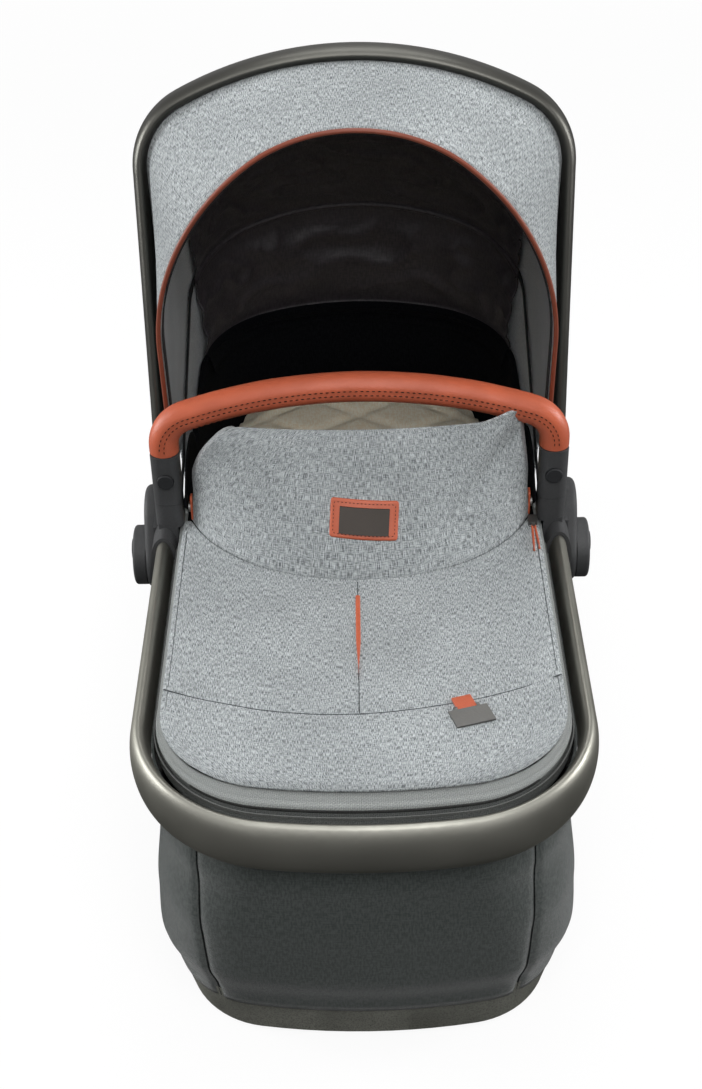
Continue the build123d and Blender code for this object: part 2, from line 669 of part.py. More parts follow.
def build_zip_pull(nodes):
    """Zip slider at the apron's corner with a leather pull on a pin."""
    seat_z = apron_top_z(SLIDER_X - SLIDER_WIDE / 2) + LAYER_GAP
    body = block(
        (SLIDER_X - SLIDER_WIDE / 2, SLIDER_Y, seat_z),
        (SLIDER_X + SLIDER_WIDE / 2, SLIDER_Y + SLIDER_LONG, seat_z + SLIDER_TALL),
    )
    body = fillet(body.edges().filter_by(Axis.Z), SLIDER_WIDE / 4)
    pin_z = seat_z + SLIDER_TALL / 2
    pin_y = SLIDER_Y - PULL_WALL
    lugs = block(
        (SLIDER_X - TAG_EYE_RADIUS, pin_y - TAG_EYE_RADIUS, pin_z - TAG_EYE_RADIUS),
        (SLIDER_X + TAG_EYE_RADIUS, SLIDER_Y + TAG_EYE_RADIUS, pin_z + TAG_EYE_RADIUS),
    )
    pin = Pos(SLIDER_X, pin_y, pin_z) * Rot(0, 90, 0) * Cylinder(TAG_PIN_RADIUS, PULL_WIDE)
    nodes["zip_slider"] = body + lugs + pin
    strap = block(
        (SLIDER_X - PULL_WIDE / 2, pin_y - PULL_LONG, pin_z - PULL_WALL / 2),
        (SLIDER_X + PULL_WIDE / 2, pin_y + PULL_WALL / 2, pin_z + PULL_WALL / 2),
    )
    strap = fillet(strap.edges().filter_by(Axis.Z).group_by(Axis.Y)[0], PULL_WIDE / 3)
    gap = block(
        (SLIDER_X - TAG_EYE_RADIUS - FIT_GAP, pin_y - 2 * TAG_EYE_RADIUS, pin_z - PULL_WALL),
        (SLIDER_X + TAG_EYE_RADIUS + FIT_GAP, pin_y + 2 * PULL_WALL, pin_z + PULL_WALL),
    )
    eye = Pos(SLIDER_X, pin_y, pin_z) * Rot(0, 90, 0) * Cylinder(TAG_PIN_RADIUS + PIN_CLEAR, PULL_WIDE)
    nodes["zip_pull"] = strap - gap - eye


def flap_circle(half, side_y, mid_y):
    """Radius and centre of the arc through two side points and a middle point nearer the foot."""
    rise = side_y - mid_y
    radius = (half**2 + rise**2) / (2 * rise)
    return radius, mid_y + radius


def flap_band(z, half, side_y, mid_y, lift, wall):
    """A thin arc-shaped face of the flap at one height, lifted off its inner face."""
    radius, centre_y = flap_circle(half, side_y, mid_y)
    swing = math.asin(half / radius)

    def arc(r, sign):
        def point(a):
            return (r * math.sin(a), centre_y - r * math.cos(a), z)

        return ThreePointArc(point(-sign * swing), point(0), point(sign * swing))

    inner = arc(radius + lift, 1)
    outer = arc(radius + lift + wall, -1)
    return Face(Wire([inner, Line(inner @ 1, outer @ 0), outer, Line(outer @ 1, inner @ 0)]))


def flap_foot_z():
    """Height of the flap's lower edge, just above the apron's edge."""
    return apron_edge_z() + APRON_WALL + LAYER_GAP


def flap_sheet(lift, wall):
    """The flap's leaning surface with a thickness, before its outline is cut."""
    foot = flap_band(flap_foot_z(), FLAP_HALF, FLAP_FOOT_SIDE_Y, FLAP_FOOT_MID_Y, lift, wall)
    top = flap_band(FLAP_TOP_Z, FLAP_TOP_HALF, FLAP_TOP_SIDE_Y, FLAP_TOP_MID_Y, lift, wall)
    return loft([foot, top], ruled=True)


def front_prism(corners, radius):
    """A shape drawn in front view and carried through the flap, with rounded upper corners."""
    outline = Polyline(*corners, close=True)
    face = Plane.XZ * make_face(outline)
    tops = face.vertices().group_by(Axis.Z)[-1]
    face = fillet(tops, radius)
    return extrude(face, amount=FRAME_REACH, both=True)


def build_flap(nodes):
    """Wind flap, its leather patch with a blank metal plate, and its side tabs."""
    foot_z = flap_foot_z()
    outline = [
        (-FLAP_HALF, foot_z),
        (FLAP_HALF, foot_z),
        (FLAP_TOP_HALF - FLAP_TOP_TRIM, FLAP_TOP_Z),
        (FLAP_TOP_TRIM - FLAP_TOP_HALF, FLAP_TOP_Z),
    ]
    nodes["wind_flap"] = flap_sheet(0, FLAP_WALL) & front_prism(outline, FLAP_CORNER)

    patch_lift = FLAP_WALL + FIT_GAP
    nodes["name_patch"] = flap_sheet(patch_lift, TRIM_WALL) & patch_prism(PATCH_WIDE, PATCH_TALL)
    plate_lift = patch_lift + TRIM_WALL + FIT_GAP
    nodes["patch_plate"] = flap_sheet(plate_lift, TRIM_WALL) & patch_prism(PLATE_WIDE, PLATE_TALL)

    tab_x = FLAP_HALF + LAYER_GAP
    tab_z = apron_top_z(tab_x) + LAYER_GAP
    tab_low = FLAP_FOOT_SIDE_Y - TAB_WIDE / 2
    tab = block(
        (tab_x, tab_low, tab_z),
        (tab_x + TAB_WALL, tab_low + TAB_WIDE, tab_z + TAB_TALL),
    )
    tab = fillet(tab.edges().filter_by(Axis.X), TAB_WIDE / 3)
    nodes["flap_tabs"] = both_sides(tab)
    popper = disc(POPPER_RADIUS, tab_x + TAB_WALL, POPPER_TALL, FLAP_FOOT_SIDE_Y, tab_z + TAB_TALL / 2)
    nodes["tab_poppers"] = both_sides(popper)


def patch_prism(wide, tall):
    """A rectangle in front view at the patch's place and lean, on the foot side only."""
    slab = block((-wide / 2, -FRAME_REACH, -tall / 2), (wide / 2, FLAP_FOOT_SIDE_Y, tall / 2))
    return Pos(PATCH_X, 0, PATCH_Z) * Rot(0, PATCH_TURN, 0) * slab


def build_hood(nodes):
    """Arch tube, its knuckles and rivets, the two fabric panels and their bows."""
    hoop_plane = fan(ARCH_ANGLE)
    hoop = arch_tube(HOOP, KNUCKLE_REACH, ARCH_TUBE_THIN, ARCH_TUBE_DEEP, TUBE_WALL)
    rivet_v = KNUCKLE_REACH + TENON_LONG / 2

    def cross_rod(radius, long):
        return Pos(ARCH_HALF, rivet_v, 0) * Rot(0, 90, 0) * Cylinder(radius, long)

    hole = cross_rod(RIVET_RADIUS + PIN_CLEAR, ARCH_TUBE_THIN + 2 * RIVET_RADIUS)
    rivet = cross_rod(RIVET_RADIUS, ARCH_TUBE_THIN - 2 * RIVET_RECESS)
    nodes["arch_tube"] = hoop_plane * (hoop - both_sides(hole))
    nodes["arch_rivets"] = hoop_plane * both_sides(rivet)
    pair(nodes, "arch_knuckle", hoop_plane * (knuckle() - hole))

    cloth_edge = HOOP.inset(ARCH_TUBE_THIN / 2 + HOOD_GAP)
    bow_half = REAR_BOW_X + BOW_WALL + BOW_GAP + HOOD_WALL
    rear_edge = Arch(bow_half, REAR_BOW_REACH, REAR_BOW_CORNER, REAR_BOW_CROWN)
    hem_reach = HEAD_REACH + HOOD_RIM_GAP + HOOD_WALL
    hem = Arch(bow_half, hem_reach, HEAD_CORNER, HEAD_CROWN)
    sections = []
    for step in range(HOOD_STEPS + 1):
        share = step / HOOD_STEPS
        angle = ARCH_ANGLE - HOOD_SPLIT - share * (ARCH_ANGLE - HOOD_SPLIT - REAR_BOW_ANGLE)
        start = max(HOOD_FOOT, HOOD_HEM_CLEAR / math.sin(math.radians(angle)))
        sections.append(fan(angle) * band_face(cloth_edge.toward(rear_edge, share), start, HOOD_WALL))
    sections.append(Pos(0, 0, HOOD_RIM_Z) * band_face(hem, HOOD_RIM_START, HOOD_WALL))
    nodes["hood_rear"] = loft(sections, ruled=True)

    visor_deep = VISOR_REACH * math.radians(VISOR_ANGLE - ARCH_ANGLE)
    visor_lean = max(0, VISOR_REACH - cloth_edge.reach) / visor_deep
    visor_gap = BOW_GAP + visor_lean * BOW_DEEP
    visor_half = VISOR_BOW_X + BOW_WALL + visor_gap + HOOD_WALL
    visor = Arch(visor_half, VISOR_REACH, VISOR_CORNER, VISOR_CROWN)
    nodes["hood_visor"] = loft(
        [
            fan(ARCH_ANGLE + HOOD_SPLIT) * band_face(cloth_edge, VISOR_FOOT, HOOD_WALL),
            fan(VISOR_ANGLE) * band_face(visor, VISOR_FOOT, HOOD_WALL),
        ],
        ruled=True,
    )
    nodes["visor_bow"] = bow(visor.inset(HOOD_WALL + visor_gap), VISOR_BOW_X, VISOR_ANGLE, BOW_DEEP / 2)
    nodes["rear_bow"] = bow(rear_edge.inset(HOOD_WALL + BOW_GAP), REAR_BOW_X, REAR_BOW_ANGLE, 0)
    piping = arch_rod(visor.inset(HOOD_WALL / 2), VISOR_FOOT, 2 * PIPING_RADIUS, 2 * PIPING_RADIUS)
    shift = Pos(0, 0, PIPING_RADIUS + LAYER_GAP)
    nodes["hood_piping"] = fan(VISOR_ANGLE) * shift * piping


def knuckle():
    """A disc on the pivot with an arm and a tenon for the arch tube, in the arch's plane."""
    middle = KNUCKLE_X + KNUCKLE_WALL / 2
    eye = Pos(middle, 0, 0) * Rot(0, 90, 0) * Cylinder(KNUCKLE_RADIUS, KNUCKLE_WALL)
    arm_half = ARCH_TUBE_DEEP / 2 - TUBE_WALL / 2
    arm = block(
        (KNUCKLE_X, 0, -arm_half),
        (KNUCKLE_X + KNUCKLE_WALL, KNUCKLE_REACH - FIT_GAP, arm_half),
    )
    section = Plane(origin=(ARCH_HALF, 0, 0), x_dir=(1, 0, 0), z_dir=(0, 1, 0))
    tenon_thin = ARCH_TUBE_THIN / 2 - TUBE_WALL - FIT_GAP
    tenon_deep = ARCH_TUBE_DEEP / 2 - TUBE_WALL - FIT_GAP
    tenon = extrude(section * Ellipse(tenon_thin, tenon_deep), amount=KNUCKLE_REACH + TENON_LONG)
    pivot = Pos(middle, 0, 0) * Rot(0, 90, 0) * Cylinder(PIN_RADIUS + PIN_CLEAR, KNUCKLE_WALL)
    return eye + arm + tenon - pivot


def bow(arch, x, angle, setback):
    """A flat hood bow, set back from its plane, whose feet are eyes on the pivot pins."""
    strip = Pos(0, 0, -setback) * arch_strip(arch, 0, BOW_WALL, BOW_DEEP)
    middle = x + BOW_WALL / 2
    eye = Pos(middle, 0, 0) * Rot(0, 90, 0) * Cylinder(BOW_EYE_RADIUS, BOW_WALL)
    hole = Pos(middle, 0, 0) * Rot(0, 90, 0) * Cylinder(PIN_RADIUS + PIN_CLEAR, 2 * BOW_WALL)
    left_eye = mirror(eye, about=Plane.YZ)
    left_hole = mirror(hole, about=Plane.YZ)
    return fan(angle) * (strip + eye + left_eye - hole - left_hole)


def build_bumper(nodes):
    """Bumper bar: core tube, leather cover, sleeves that plug into the hubs, and their buttons."""
    bar_plane = Plane(origin=(0, BUMPER_Y, 0), x_dir=(1, 0, 0), z_dir=(0, -1, 0))
    bar = Arch(BUMPER_HALF, BUMPER_TOP_Z, BUMPER_CORNER, BUMPER_CROWN)
    core_start = COVER_END_Z - SLEEVE_SEAT
    core = arch_tube(bar, core_start, 2 * CORE_RADIUS, 2 * CORE_RADIUS, CORE_WALL)
    nodes["bumper_core"] = bar_plane * core
    hole = CORE_RADIUS + FIT_GAP
    cover = arch_rod(bar, COVER_END_Z, 2 * COVER_RADIUS, 2 * COVER_RADIUS)
    nodes["bumper_cover"] = bar_plane * (cover - arch_rod(bar, COVER_END_Z, 2 * hole, 2 * hole))

    low_z = SOCKET_TOP_Z + LAYER_GAP
    at = Pos(BUMPER_HALF, BUMPER_Y, 0)
    body = extrude(
        at * Pos(0, 0, low_z) * RectangleRounded(SLEEVE_WIDE, SLEEVE_DEEP, SLEEVE_CORNER),
        amount=COVER_END_Z - FIT_GAP - low_z,
    )
    up = (Align.CENTER, Align.CENTER, Align.MIN)
    tenon_low = SOCKET_FLOOR_Z + LAYER_GAP
    body += at * Pos(0, 0, tenon_low) * Cylinder(SLEEVE_TENON_RADIUS, low_z - tenon_low, align=up)
    body -= at * Pos(0, 0, core_start - FIT_GAP) * Cylinder(hole, SLEEVE_SEAT + FIT_GAP, align=up)
    front_y = BUMPER_Y - SLEEVE_DEEP / 2

    def along_y(radius, y, long):
        return Pos(BUMPER_HALF, y + long / 2, BUTTON_Z) * Rot(90, 0, 0) * Cylinder(radius, long)

    body -= along_y(BUTTON_RADIUS + BUTTON_GAP, front_y, BUTTON_POCKET)
    pair(nodes, "bumper_sleeve", body)
    button_y = front_y - BUTTON_PROUD
    button = along_y(BUTTON_RADIUS, button_y, BUTTON_LONG)
    button = fillet(button.faces().sort_by(Axis.Y)[0].edges(), BUTTON_PROUD / 2)
    pair(nodes, "bumper_button", button)
    spring_y = button_y + BUTTON_LONG + BUTTON_GAP
    spring_long = front_y + BUTTON_POCKET - spring_y
    spring = along_y(SPRING_RADIUS, spring_y, spring_long)
    spring -= along_y(SPRING_RADIUS - SPRING_WALL, spring_y, spring_long)
    pair(nodes, "bumper_spring", spring)


def main():
    """Builds every piece and writes one file for each."""
    nodes = {}
    build_tub(nodes)
    build_frame(nodes)
    build_rim(nodes)
    build_flap(nodes)
    build_hood(nodes)
    build_bumper(nodes)
    os.makedirs("parts", exist_ok=True)
    for name, solid in nodes.items():
        export_step(Pos(0, HUB_Y, 0) * solid, f"parts/{name}.step")


if __name__ == "__main__":
    main()
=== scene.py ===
"""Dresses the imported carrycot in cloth, leather, metal and plastic, and sets up its studio."""

import logging
import math
from collections.abc import Callable, Sequence
from dataclasses import dataclass, field
from enum import Enum
from functools import partial
from typing import ClassVar

import bmesh
import bpy
from mathutils import Matrix, Vector, noise


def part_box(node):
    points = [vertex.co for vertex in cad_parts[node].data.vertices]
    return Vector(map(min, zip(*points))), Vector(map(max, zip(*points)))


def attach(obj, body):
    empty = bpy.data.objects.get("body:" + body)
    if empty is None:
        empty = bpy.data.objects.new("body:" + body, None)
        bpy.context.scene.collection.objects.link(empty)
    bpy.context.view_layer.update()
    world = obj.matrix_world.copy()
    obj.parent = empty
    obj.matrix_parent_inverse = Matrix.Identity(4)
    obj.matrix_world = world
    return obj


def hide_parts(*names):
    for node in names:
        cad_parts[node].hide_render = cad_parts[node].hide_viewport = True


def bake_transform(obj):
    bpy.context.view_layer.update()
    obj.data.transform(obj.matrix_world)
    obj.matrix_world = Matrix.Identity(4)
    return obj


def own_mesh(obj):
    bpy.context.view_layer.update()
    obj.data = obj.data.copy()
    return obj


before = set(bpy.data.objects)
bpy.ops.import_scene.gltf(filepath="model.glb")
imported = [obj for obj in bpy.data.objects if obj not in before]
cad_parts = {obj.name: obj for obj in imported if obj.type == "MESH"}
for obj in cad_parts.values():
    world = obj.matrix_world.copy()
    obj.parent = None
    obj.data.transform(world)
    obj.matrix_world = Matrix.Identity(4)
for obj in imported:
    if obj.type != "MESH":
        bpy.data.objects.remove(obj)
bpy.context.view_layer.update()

log = logging.getLogger("carrycot")

Place = Callable[[float, float], Vector]
Path = list[tuple[Vector, Vector]]
Pair = tuple[float, float]
Colour = tuple[float, float, float]

HUB = Vector((0.0, 0.035, 0.252))
UP = Vector((0.0, 0.0, 1.0))
SIDES = {"left": -1.0, "right": 1.0}


class Facing(Enum):
    """Which way a sheet's outer side looks from a point behind it."""

    AWAY = 1
    TOWARD = -1


class Coords(Enum):
    """Where a finish takes its pattern's coordinates from."""

    UV = "UV"
    OBJECT = "Object"


class Held(Enum):
    """How a sheet is held."""

    STRETCHED = "stretched"
    HUNG = "hung"


def smooth(value: float) -> float:
    """Eases a value between 0 and 1 in and out, clamped at both ends."""
    t = min(max(value, 0.0), 1.0)
    return t * t * (3.0 - 2.0 * t)


def groove(distance: float, width: float) -> float:
    """A soft dip of depth 1 at distance 0 that dies away over a width."""
    return math.exp(-((distance / width) ** 2))


def lerp(a: float, b: float, share: float) -> float:
    """The number part of the way from a to b."""
    return a + (b - a) * share


def centred(share: float) -> float:
    """A share from 0 to 1 as a number from -1 to 1."""
    return 2.0 * share - 1.0


def shares(count: int, low: float = 0.0, high: float = 1.0) -> list[float]:
    """Evenly spaced numbers from low to high, with both ends."""
    return [lerp(low, high, index / count) for index in range(count + 1)]


def both(*parts: str) -> list[str]:
    """The names of the left and the right piece of each part."""
    return [f"{part}_{side}" for part in parts for side in SIDES]


def fixed(x: float, y: float, z: float) -> Vector:
    """A class field that holds a point or a direction."""
    return field(default_factory=lambda: Vector((x, y, z)))


def ripple(point: Vector, scale: float, seed: float) -> float:
    """Smooth noise between about -1 and 1 at a point, for creases in cloth."""
    return noise.noise(point * scale + Vector((seed, 2.0 * seed, 3.0 * seed)))


@dataclass(frozen=True)
class Ramp:
    """A soft rise from 0 to 1 that begins at a value and takes a run."""

    start: float
    run: float

    def at(self, value: float) -> float:
        """How far up the rise a value lies."""
        return smooth((value - self.start) / self.run)


@dataclass(frozen=True)
class Dip:
    """A soft groove, as a sewn seam pulls it into cloth."""

    depth: float
    width: float

    def at(self, distance: float) -> float:
        """How deep the groove is at a distance from its middle."""
        return self.depth * groove(distance, self.width)


@dataclass(frozen=True)
class Creases:
    """Uneven creases of one depth and fineness."""

    depth: float
    scale: float
    seed: float

    def at(self, point: Vector) -> float:
        """How far the cloth stands off its smooth shape at a point."""
        return self.depth * ripple(point, self.scale, self.seed)


def fan(angle: float, across: float, along: float, off: float = 0.0) -> Vector:
    """A point in a plane that leans about the hood's pivot.

    Args:
        angle: the plane's lean above the head end, in degrees.
        across: distance to the right of the middle.
        along: distance from the pivot, up the plane.
        off: distance from the plane towards the foot end.

    Returns:
        The point.
    """
    lean = math.radians(angle)
    rise = along * math.sin(lean) + off * math.cos(lean)
    return HUB + Vector((across, along * math.cos(lean) - off * math.sin(lean), rise))


@dataclass(frozen=True)
class Arch:
    """A rounded end: two straight sides, two corner arcs and a crown arc."""

    half: float
    reach: float
    corner: float
    crown: float

    def inset(self, by: float) -> "Arch":
        """The same end drawn in all round."""
        return Arch(self.half - by, self.reach - by, self.corner - by, self.crown - by)

    def drawn(self, sides: float, ends: float, corners: float = 0.0) -> "Arch":
        """The same end drawn in at its sides and its end, with tighter corners."""
        return Arch(self.half - sides, self.reach - ends, self.corner - ends - corners, self.crown - ends)

    def toward(self, other: "Arch", share: float) -> "Arch":
        """An end part of the way from this one to another."""
        pairs = zip(vars(self).values(), vars(other).values())
        return Arch(*[lerp(a, b, share) for a, b in pairs])

    def walk(self, start: float) -> tuple[float, float, float, float, float]:
        """Measures one half of the line.

        Args:
            start: where the straight sides begin.

        Returns:
            Length of the straight, the corner and the half crown, the corner's turn, and the
            height of the corner's centre.
        """
        bend = self.crown - self.corner
        side = self.half - self.corner
        rise = math.copysign(math.sqrt(bend**2 - side**2), bend)
        sign = math.copysign(1.0, bend)
        turn = math.atan2(sign * rise, sign * side)
        centre = self.reach - self.crown + rise
        return centre - start, self.corner * turn, self.crown * (math.pi / 2 - turn), turn, centre

    def at(self, share: float, start: float) -> Pair:
        """A point on the line.

        Args:
            share: 0 at the right foot, 0.5 at the crown and 1 at the left foot.
            start: where the straight sides begin.

        Returns:
            Distance across and distance along.
        """
        straight, bent, crowned, turn, centre = self.walk(start)
        side = 1.0 if share <= 0.5 else -1.0
        left = min(share, 1.0 - share) * 2.0 * (straight + bent + crowned)
        if left <= straight:
            return side * self.half, start + left
        left -= straight
        if left <= bent:
            angle = left / self.corner
            across = self.half - self.corner + self.corner * math.cos(angle)
            return side * across, centre + self.corner * math.sin(angle)
        angle = turn + (left - bent) / self.crown
        return side * self.crown * math.cos(angle), self.reach - self.crown + self.crown * math.sin(angle)


@dataclass(frozen=True)
class Plan:
    """A closed outline seen from above, with a foot end and a head end."""

    foot: Arch
    head: Arch

    def inset(self, by: float) -> "Plan":
        """The same outline drawn in all round."""
        return Plan(self.foot.inset(by), self.head.inset(by))

    def drawn(self, sides: float, ends: float, corners: float = 0.0) -> "Plan":
        """The same outline drawn in at its sides and ends, with tighter corners."""
        return Plan(self.foot.drawn(sides, ends, corners), self.head.drawn(sides, ends, corners))

    def toward(self, other: "Plan", share: float) -> "Plan":
        """An outline part of the way from this one to another."""
        return Plan(self.foot.toward(other.foot, share), self.head.toward(other.head, share))

    def at(self, share: float, z: float) -> Vector:
        """A point on the outline.

        Args:
            share: the way from the right hub round the foot, the left hub and the head.
            z: the point's height.

        Returns:
            The point.
        """
        if share <= 0.5:
            across, along = self.foot.at(2.0 * share, 0.0)
            return Vector((across, HUB.y - along, z))
        across, along = self.head.at(2.0 - 2.0 * share, 0.0)
        return Vector((across, HUB.y + along, z))


RIM = Plan(Arch(0.176, 0.443, 0.111, 0.586), Arch(0.176, 0.388, 0.130, 0.260))


class Graph:
    """Adds and links nodes in one node tree."""

    def __init__(self, tree: bpy.types.NodeTree) -> None:
        """Keeps the tree that the nodes go in."""
        self.tree = tree

    def add(self, kind: str, values: dict | None = None, **settings: object) -> bpy.types.Node:
        """Adds a node.

        Args:
            kind: the node's type name.
            values: a number, colour or socket for each input, by name or index.
            settings: the node's own properties.

        Returns:
            The new node.
        """
        node = self.tree.nodes.new(kind)
        for key, value in settings.items():
            setattr(node, key, value)
        for key, value in (values or {}).items():
            if isinstance(value, bpy.types.NodeSocket):
                self.tree.links.new(value, node.inputs[key])
            else:
                node.inputs[key].default_value = value
        return node

    def math(self, operation: str, *values: object) -> bpy.types.NodeSocket:
        """A math node's result."""
        return self.add("ShaderNodeMath", dict(enumerate(values)), operation=operation).outputs[0]

    def mix(self, share: object, a: object, b: object) -> bpy.types.NodeSocket:
        """A mix of two colours."""
        node = self.add("ShaderNodeMix", {0: share, 6: a, 7: b}, data_type="RGBA", blend_type="MIX")
        return node.outputs[2]

    def noise(self, vector: object, scale: object, detail: float) -> bpy.types.NodeSocket:
        """A noise texture's value."""
        values = {"Vector": vector, "Scale": scale, "Detail": detail}
        return self.add("ShaderNodeTexNoise", values).outputs[0]

    def spread(self, value: object, given: Pair, wanted: Pair = (0.0, 1.0)) -> bpy.types.NodeSocket:
        """A value stretched from one range to another, and clamped."""
        values = dict(enumerate((value, *given, *wanted)))
        return self.add("ShaderNodeMapRange", values).outputs[0]


NUMBER_SOCKET = "NodeSocketFloat"
COLOUR_LABELS = ("Color", "Shade", "Dark", "Light")
SOCKETS = {"Vector": "NodeSocketVector", **dict.fromkeys(COLOUR_LABELS, "NodeSocketColor")}


class EffectGroup:
    """A shader effect that several finishes share, made once."""

    def __init__(self, name: str, inputs: Sequence[str], outputs: Sequence[str]) -> None:
        """Makes the group's tree and its named sockets.

        Args:
            name: the effect's name.
            inputs: the inputs' labels.
            outputs: the outputs' labels.
        """
        self.tree = bpy.data.node_groups.new(name, "ShaderNodeTree")
        for way, labels in (("INPUT", inputs), ("OUTPUT", outputs)):
            for label in labels:
                kind = SOCKETS.get(label, NUMBER_SOCKET)
                self.tree.interface.new_socket(label, in_out=way, socket_type=kind)
        self.graph = Graph(self.tree)
        self.given = self.graph.add("NodeGroupInput").outputs
        self.result = self.graph.add("NodeGroupOutput").inputs

    def give(self, label: str, value: bpy.types.NodeSocket) -> None:
        """Links a value to one of the group's outputs."""
        self.tree.links.new(value, self.result[label])

    def place(self, graph: Graph, values: dict) -> bpy.types.NodeOutputs:
        """Puts the group in a material's graph with its own values."""
        return graph.add("ShaderNodeGroup", values, node_tree=self.tree).outputs


def make_weave() -> EffectGroup:
    """Over-and-under threads.

    Returns:
        An effect whose height rises along each visible thread.
    """
    effect = EffectGroup("weave", ("Vector", "Threads"), ("Height",))
    graph = effect.graph
    values = {0: effect.given["Vector"], "Scale": effect.given["Threads"]}
    scaled = graph.add("ShaderNodeVectorMath", values, operation="SCALE").outputs[0]
    parts = graph.add("ShaderNodeSeparateXYZ", {0: scaled}).outputs[:2]
    turns = [graph.math("MULTIPLY", part, math.pi) for part in parts]
    waves = [graph.math("ABSOLUTE", graph.math("SINE", turn)) for turn in turns]
    cells = [graph.math("FLOOR", part) for part in parts]
    over = graph.math("FLOORED_MODULO", graph.math("ADD", *cells), 2.0)
    under = graph.math("SUBTRACT", 1.0, over)
    warp = graph.math("MULTIPLY", waves[0], over)
    weft = graph.math("MULTIPLY", waves[1], under)
    effect.give("Height", graph.math("ADD", warp, weft))
    return effect


WEFT_SHARE = 0.38
WARP_SHARE = 0.62
FLECK_DETAIL = 1.0
FLECK_RANGE = (0.41, 0.59)


def make_fleck() -> EffectGroup:
    """Two-colour yarn: short streaks of a dark and a light thread along both directions.

    Returns:
        An effect with a colour, and a tone from the dark thread to the light one.
    """
    effect = EffectGroup("fleck", ("Vector", "Scale", "Stretch", "Dark", "Light"), ("Color", "Tone"))
    graph = effect.graph
    squeeze = graph.math("DIVIDE", 1.0, effect.given["Stretch"])
    tones = []
    for axis in (0, 1):
        values = {0: 1.0, 1: 1.0, 2: 1.0, axis: squeeze}
        along = graph.add("ShaderNodeCombineXYZ", values).outputs[0]
        values = {0: effect.given["Vector"], 1: along}
        vector = graph.add("ShaderNodeVectorMath", values, operation="MULTIPLY").outputs[0]
        tones.append(graph.noise(vector, effect.given["Scale"], FLECK_DETAIL))
    weft = graph.math("MULTIPLY", tones[0], WEFT_SHARE)
    yarns = graph.math("MULTIPLY_ADD", tones[1], WARP_SHARE, weft)
    tone = graph.spread(yarns, FLECK_RANGE)
    effect.give("Tone", tone)
    effect.give("Color", graph.mix(tone, effect.given["Dark"], effect.given["Light"]))
    return effect


CLOUD_DETAIL = 4.0
CLOUD_RANGE = (0.35, 0.65)


def make_mottle() -> EffectGroup:
    """Slow change of tone over a surface, as dye, dust and handling leave it.

    Returns:
        An effect with a colour, and a tone from the colour to its shade.
    """
    effect = EffectGroup("mottle", ("Vector", "Scale", "Color", "Shade", "Amount"), ("Color", "Tone"))
    graph = effect.graph
    cloud = graph.noise(effect.given["Vector"], effect.given["Scale"], CLOUD_DETAIL)
    tone = graph.spread(cloud, CLOUD_RANGE)
    share = graph.math("MULTIPLY", tone, effect.given["Amount"])
    effect.give("Tone", tone)
    effect.give("Color", graph.mix(share, effect.given["Color"], effect.given["Shade"]))
    return effect


SPECK_FINENESS = 3.0
SPECK_DETAIL = 3.0


def make_grain() -> EffectGroup:
    """Pebbled grain: cells with fine noise over them.

    Returns:
        An effect with a height.
    """
    effect = EffectGroup("grain", ("Vector", "Scale", "Fine"), ("Height",))
    graph = effect.graph
    values = {"Vector": effect.given["Vector"], "Scale": effect.given["Scale"]}
    cells = graph.add("ShaderNodeTexVoronoi", values, feature="SMOOTH_F1").outputs["Distance"]
    finer = graph.math("MULTIPLY", effect.given["Scale"], SPECK_FINENESS)
    specks = graph.noise(effect.given["Vector"], finer, SPECK_DETAIL)
    share = graph.math("MULTIPLY", specks, effect.given["Fine"])
    effect.give("Height", graph.math("ADD", cells, share))
    return effect


WEAVE = make_weave()
FLECK = make_fleck()
MOTTLE = make_mottle()
GRAIN = make_grain()


def rgba(colour: Colour, share: float = 1.0) -> tuple[float, float, float, float]:
    """A colour, darkened to a share, with full alpha as a socket takes it."""
    return (*[share * part for part in colour], 1.0)


@dataclass(frozen=True)
class Clouds:
    """How the tone of a finish drifts over its surface."""

    scale: float
    amount: float


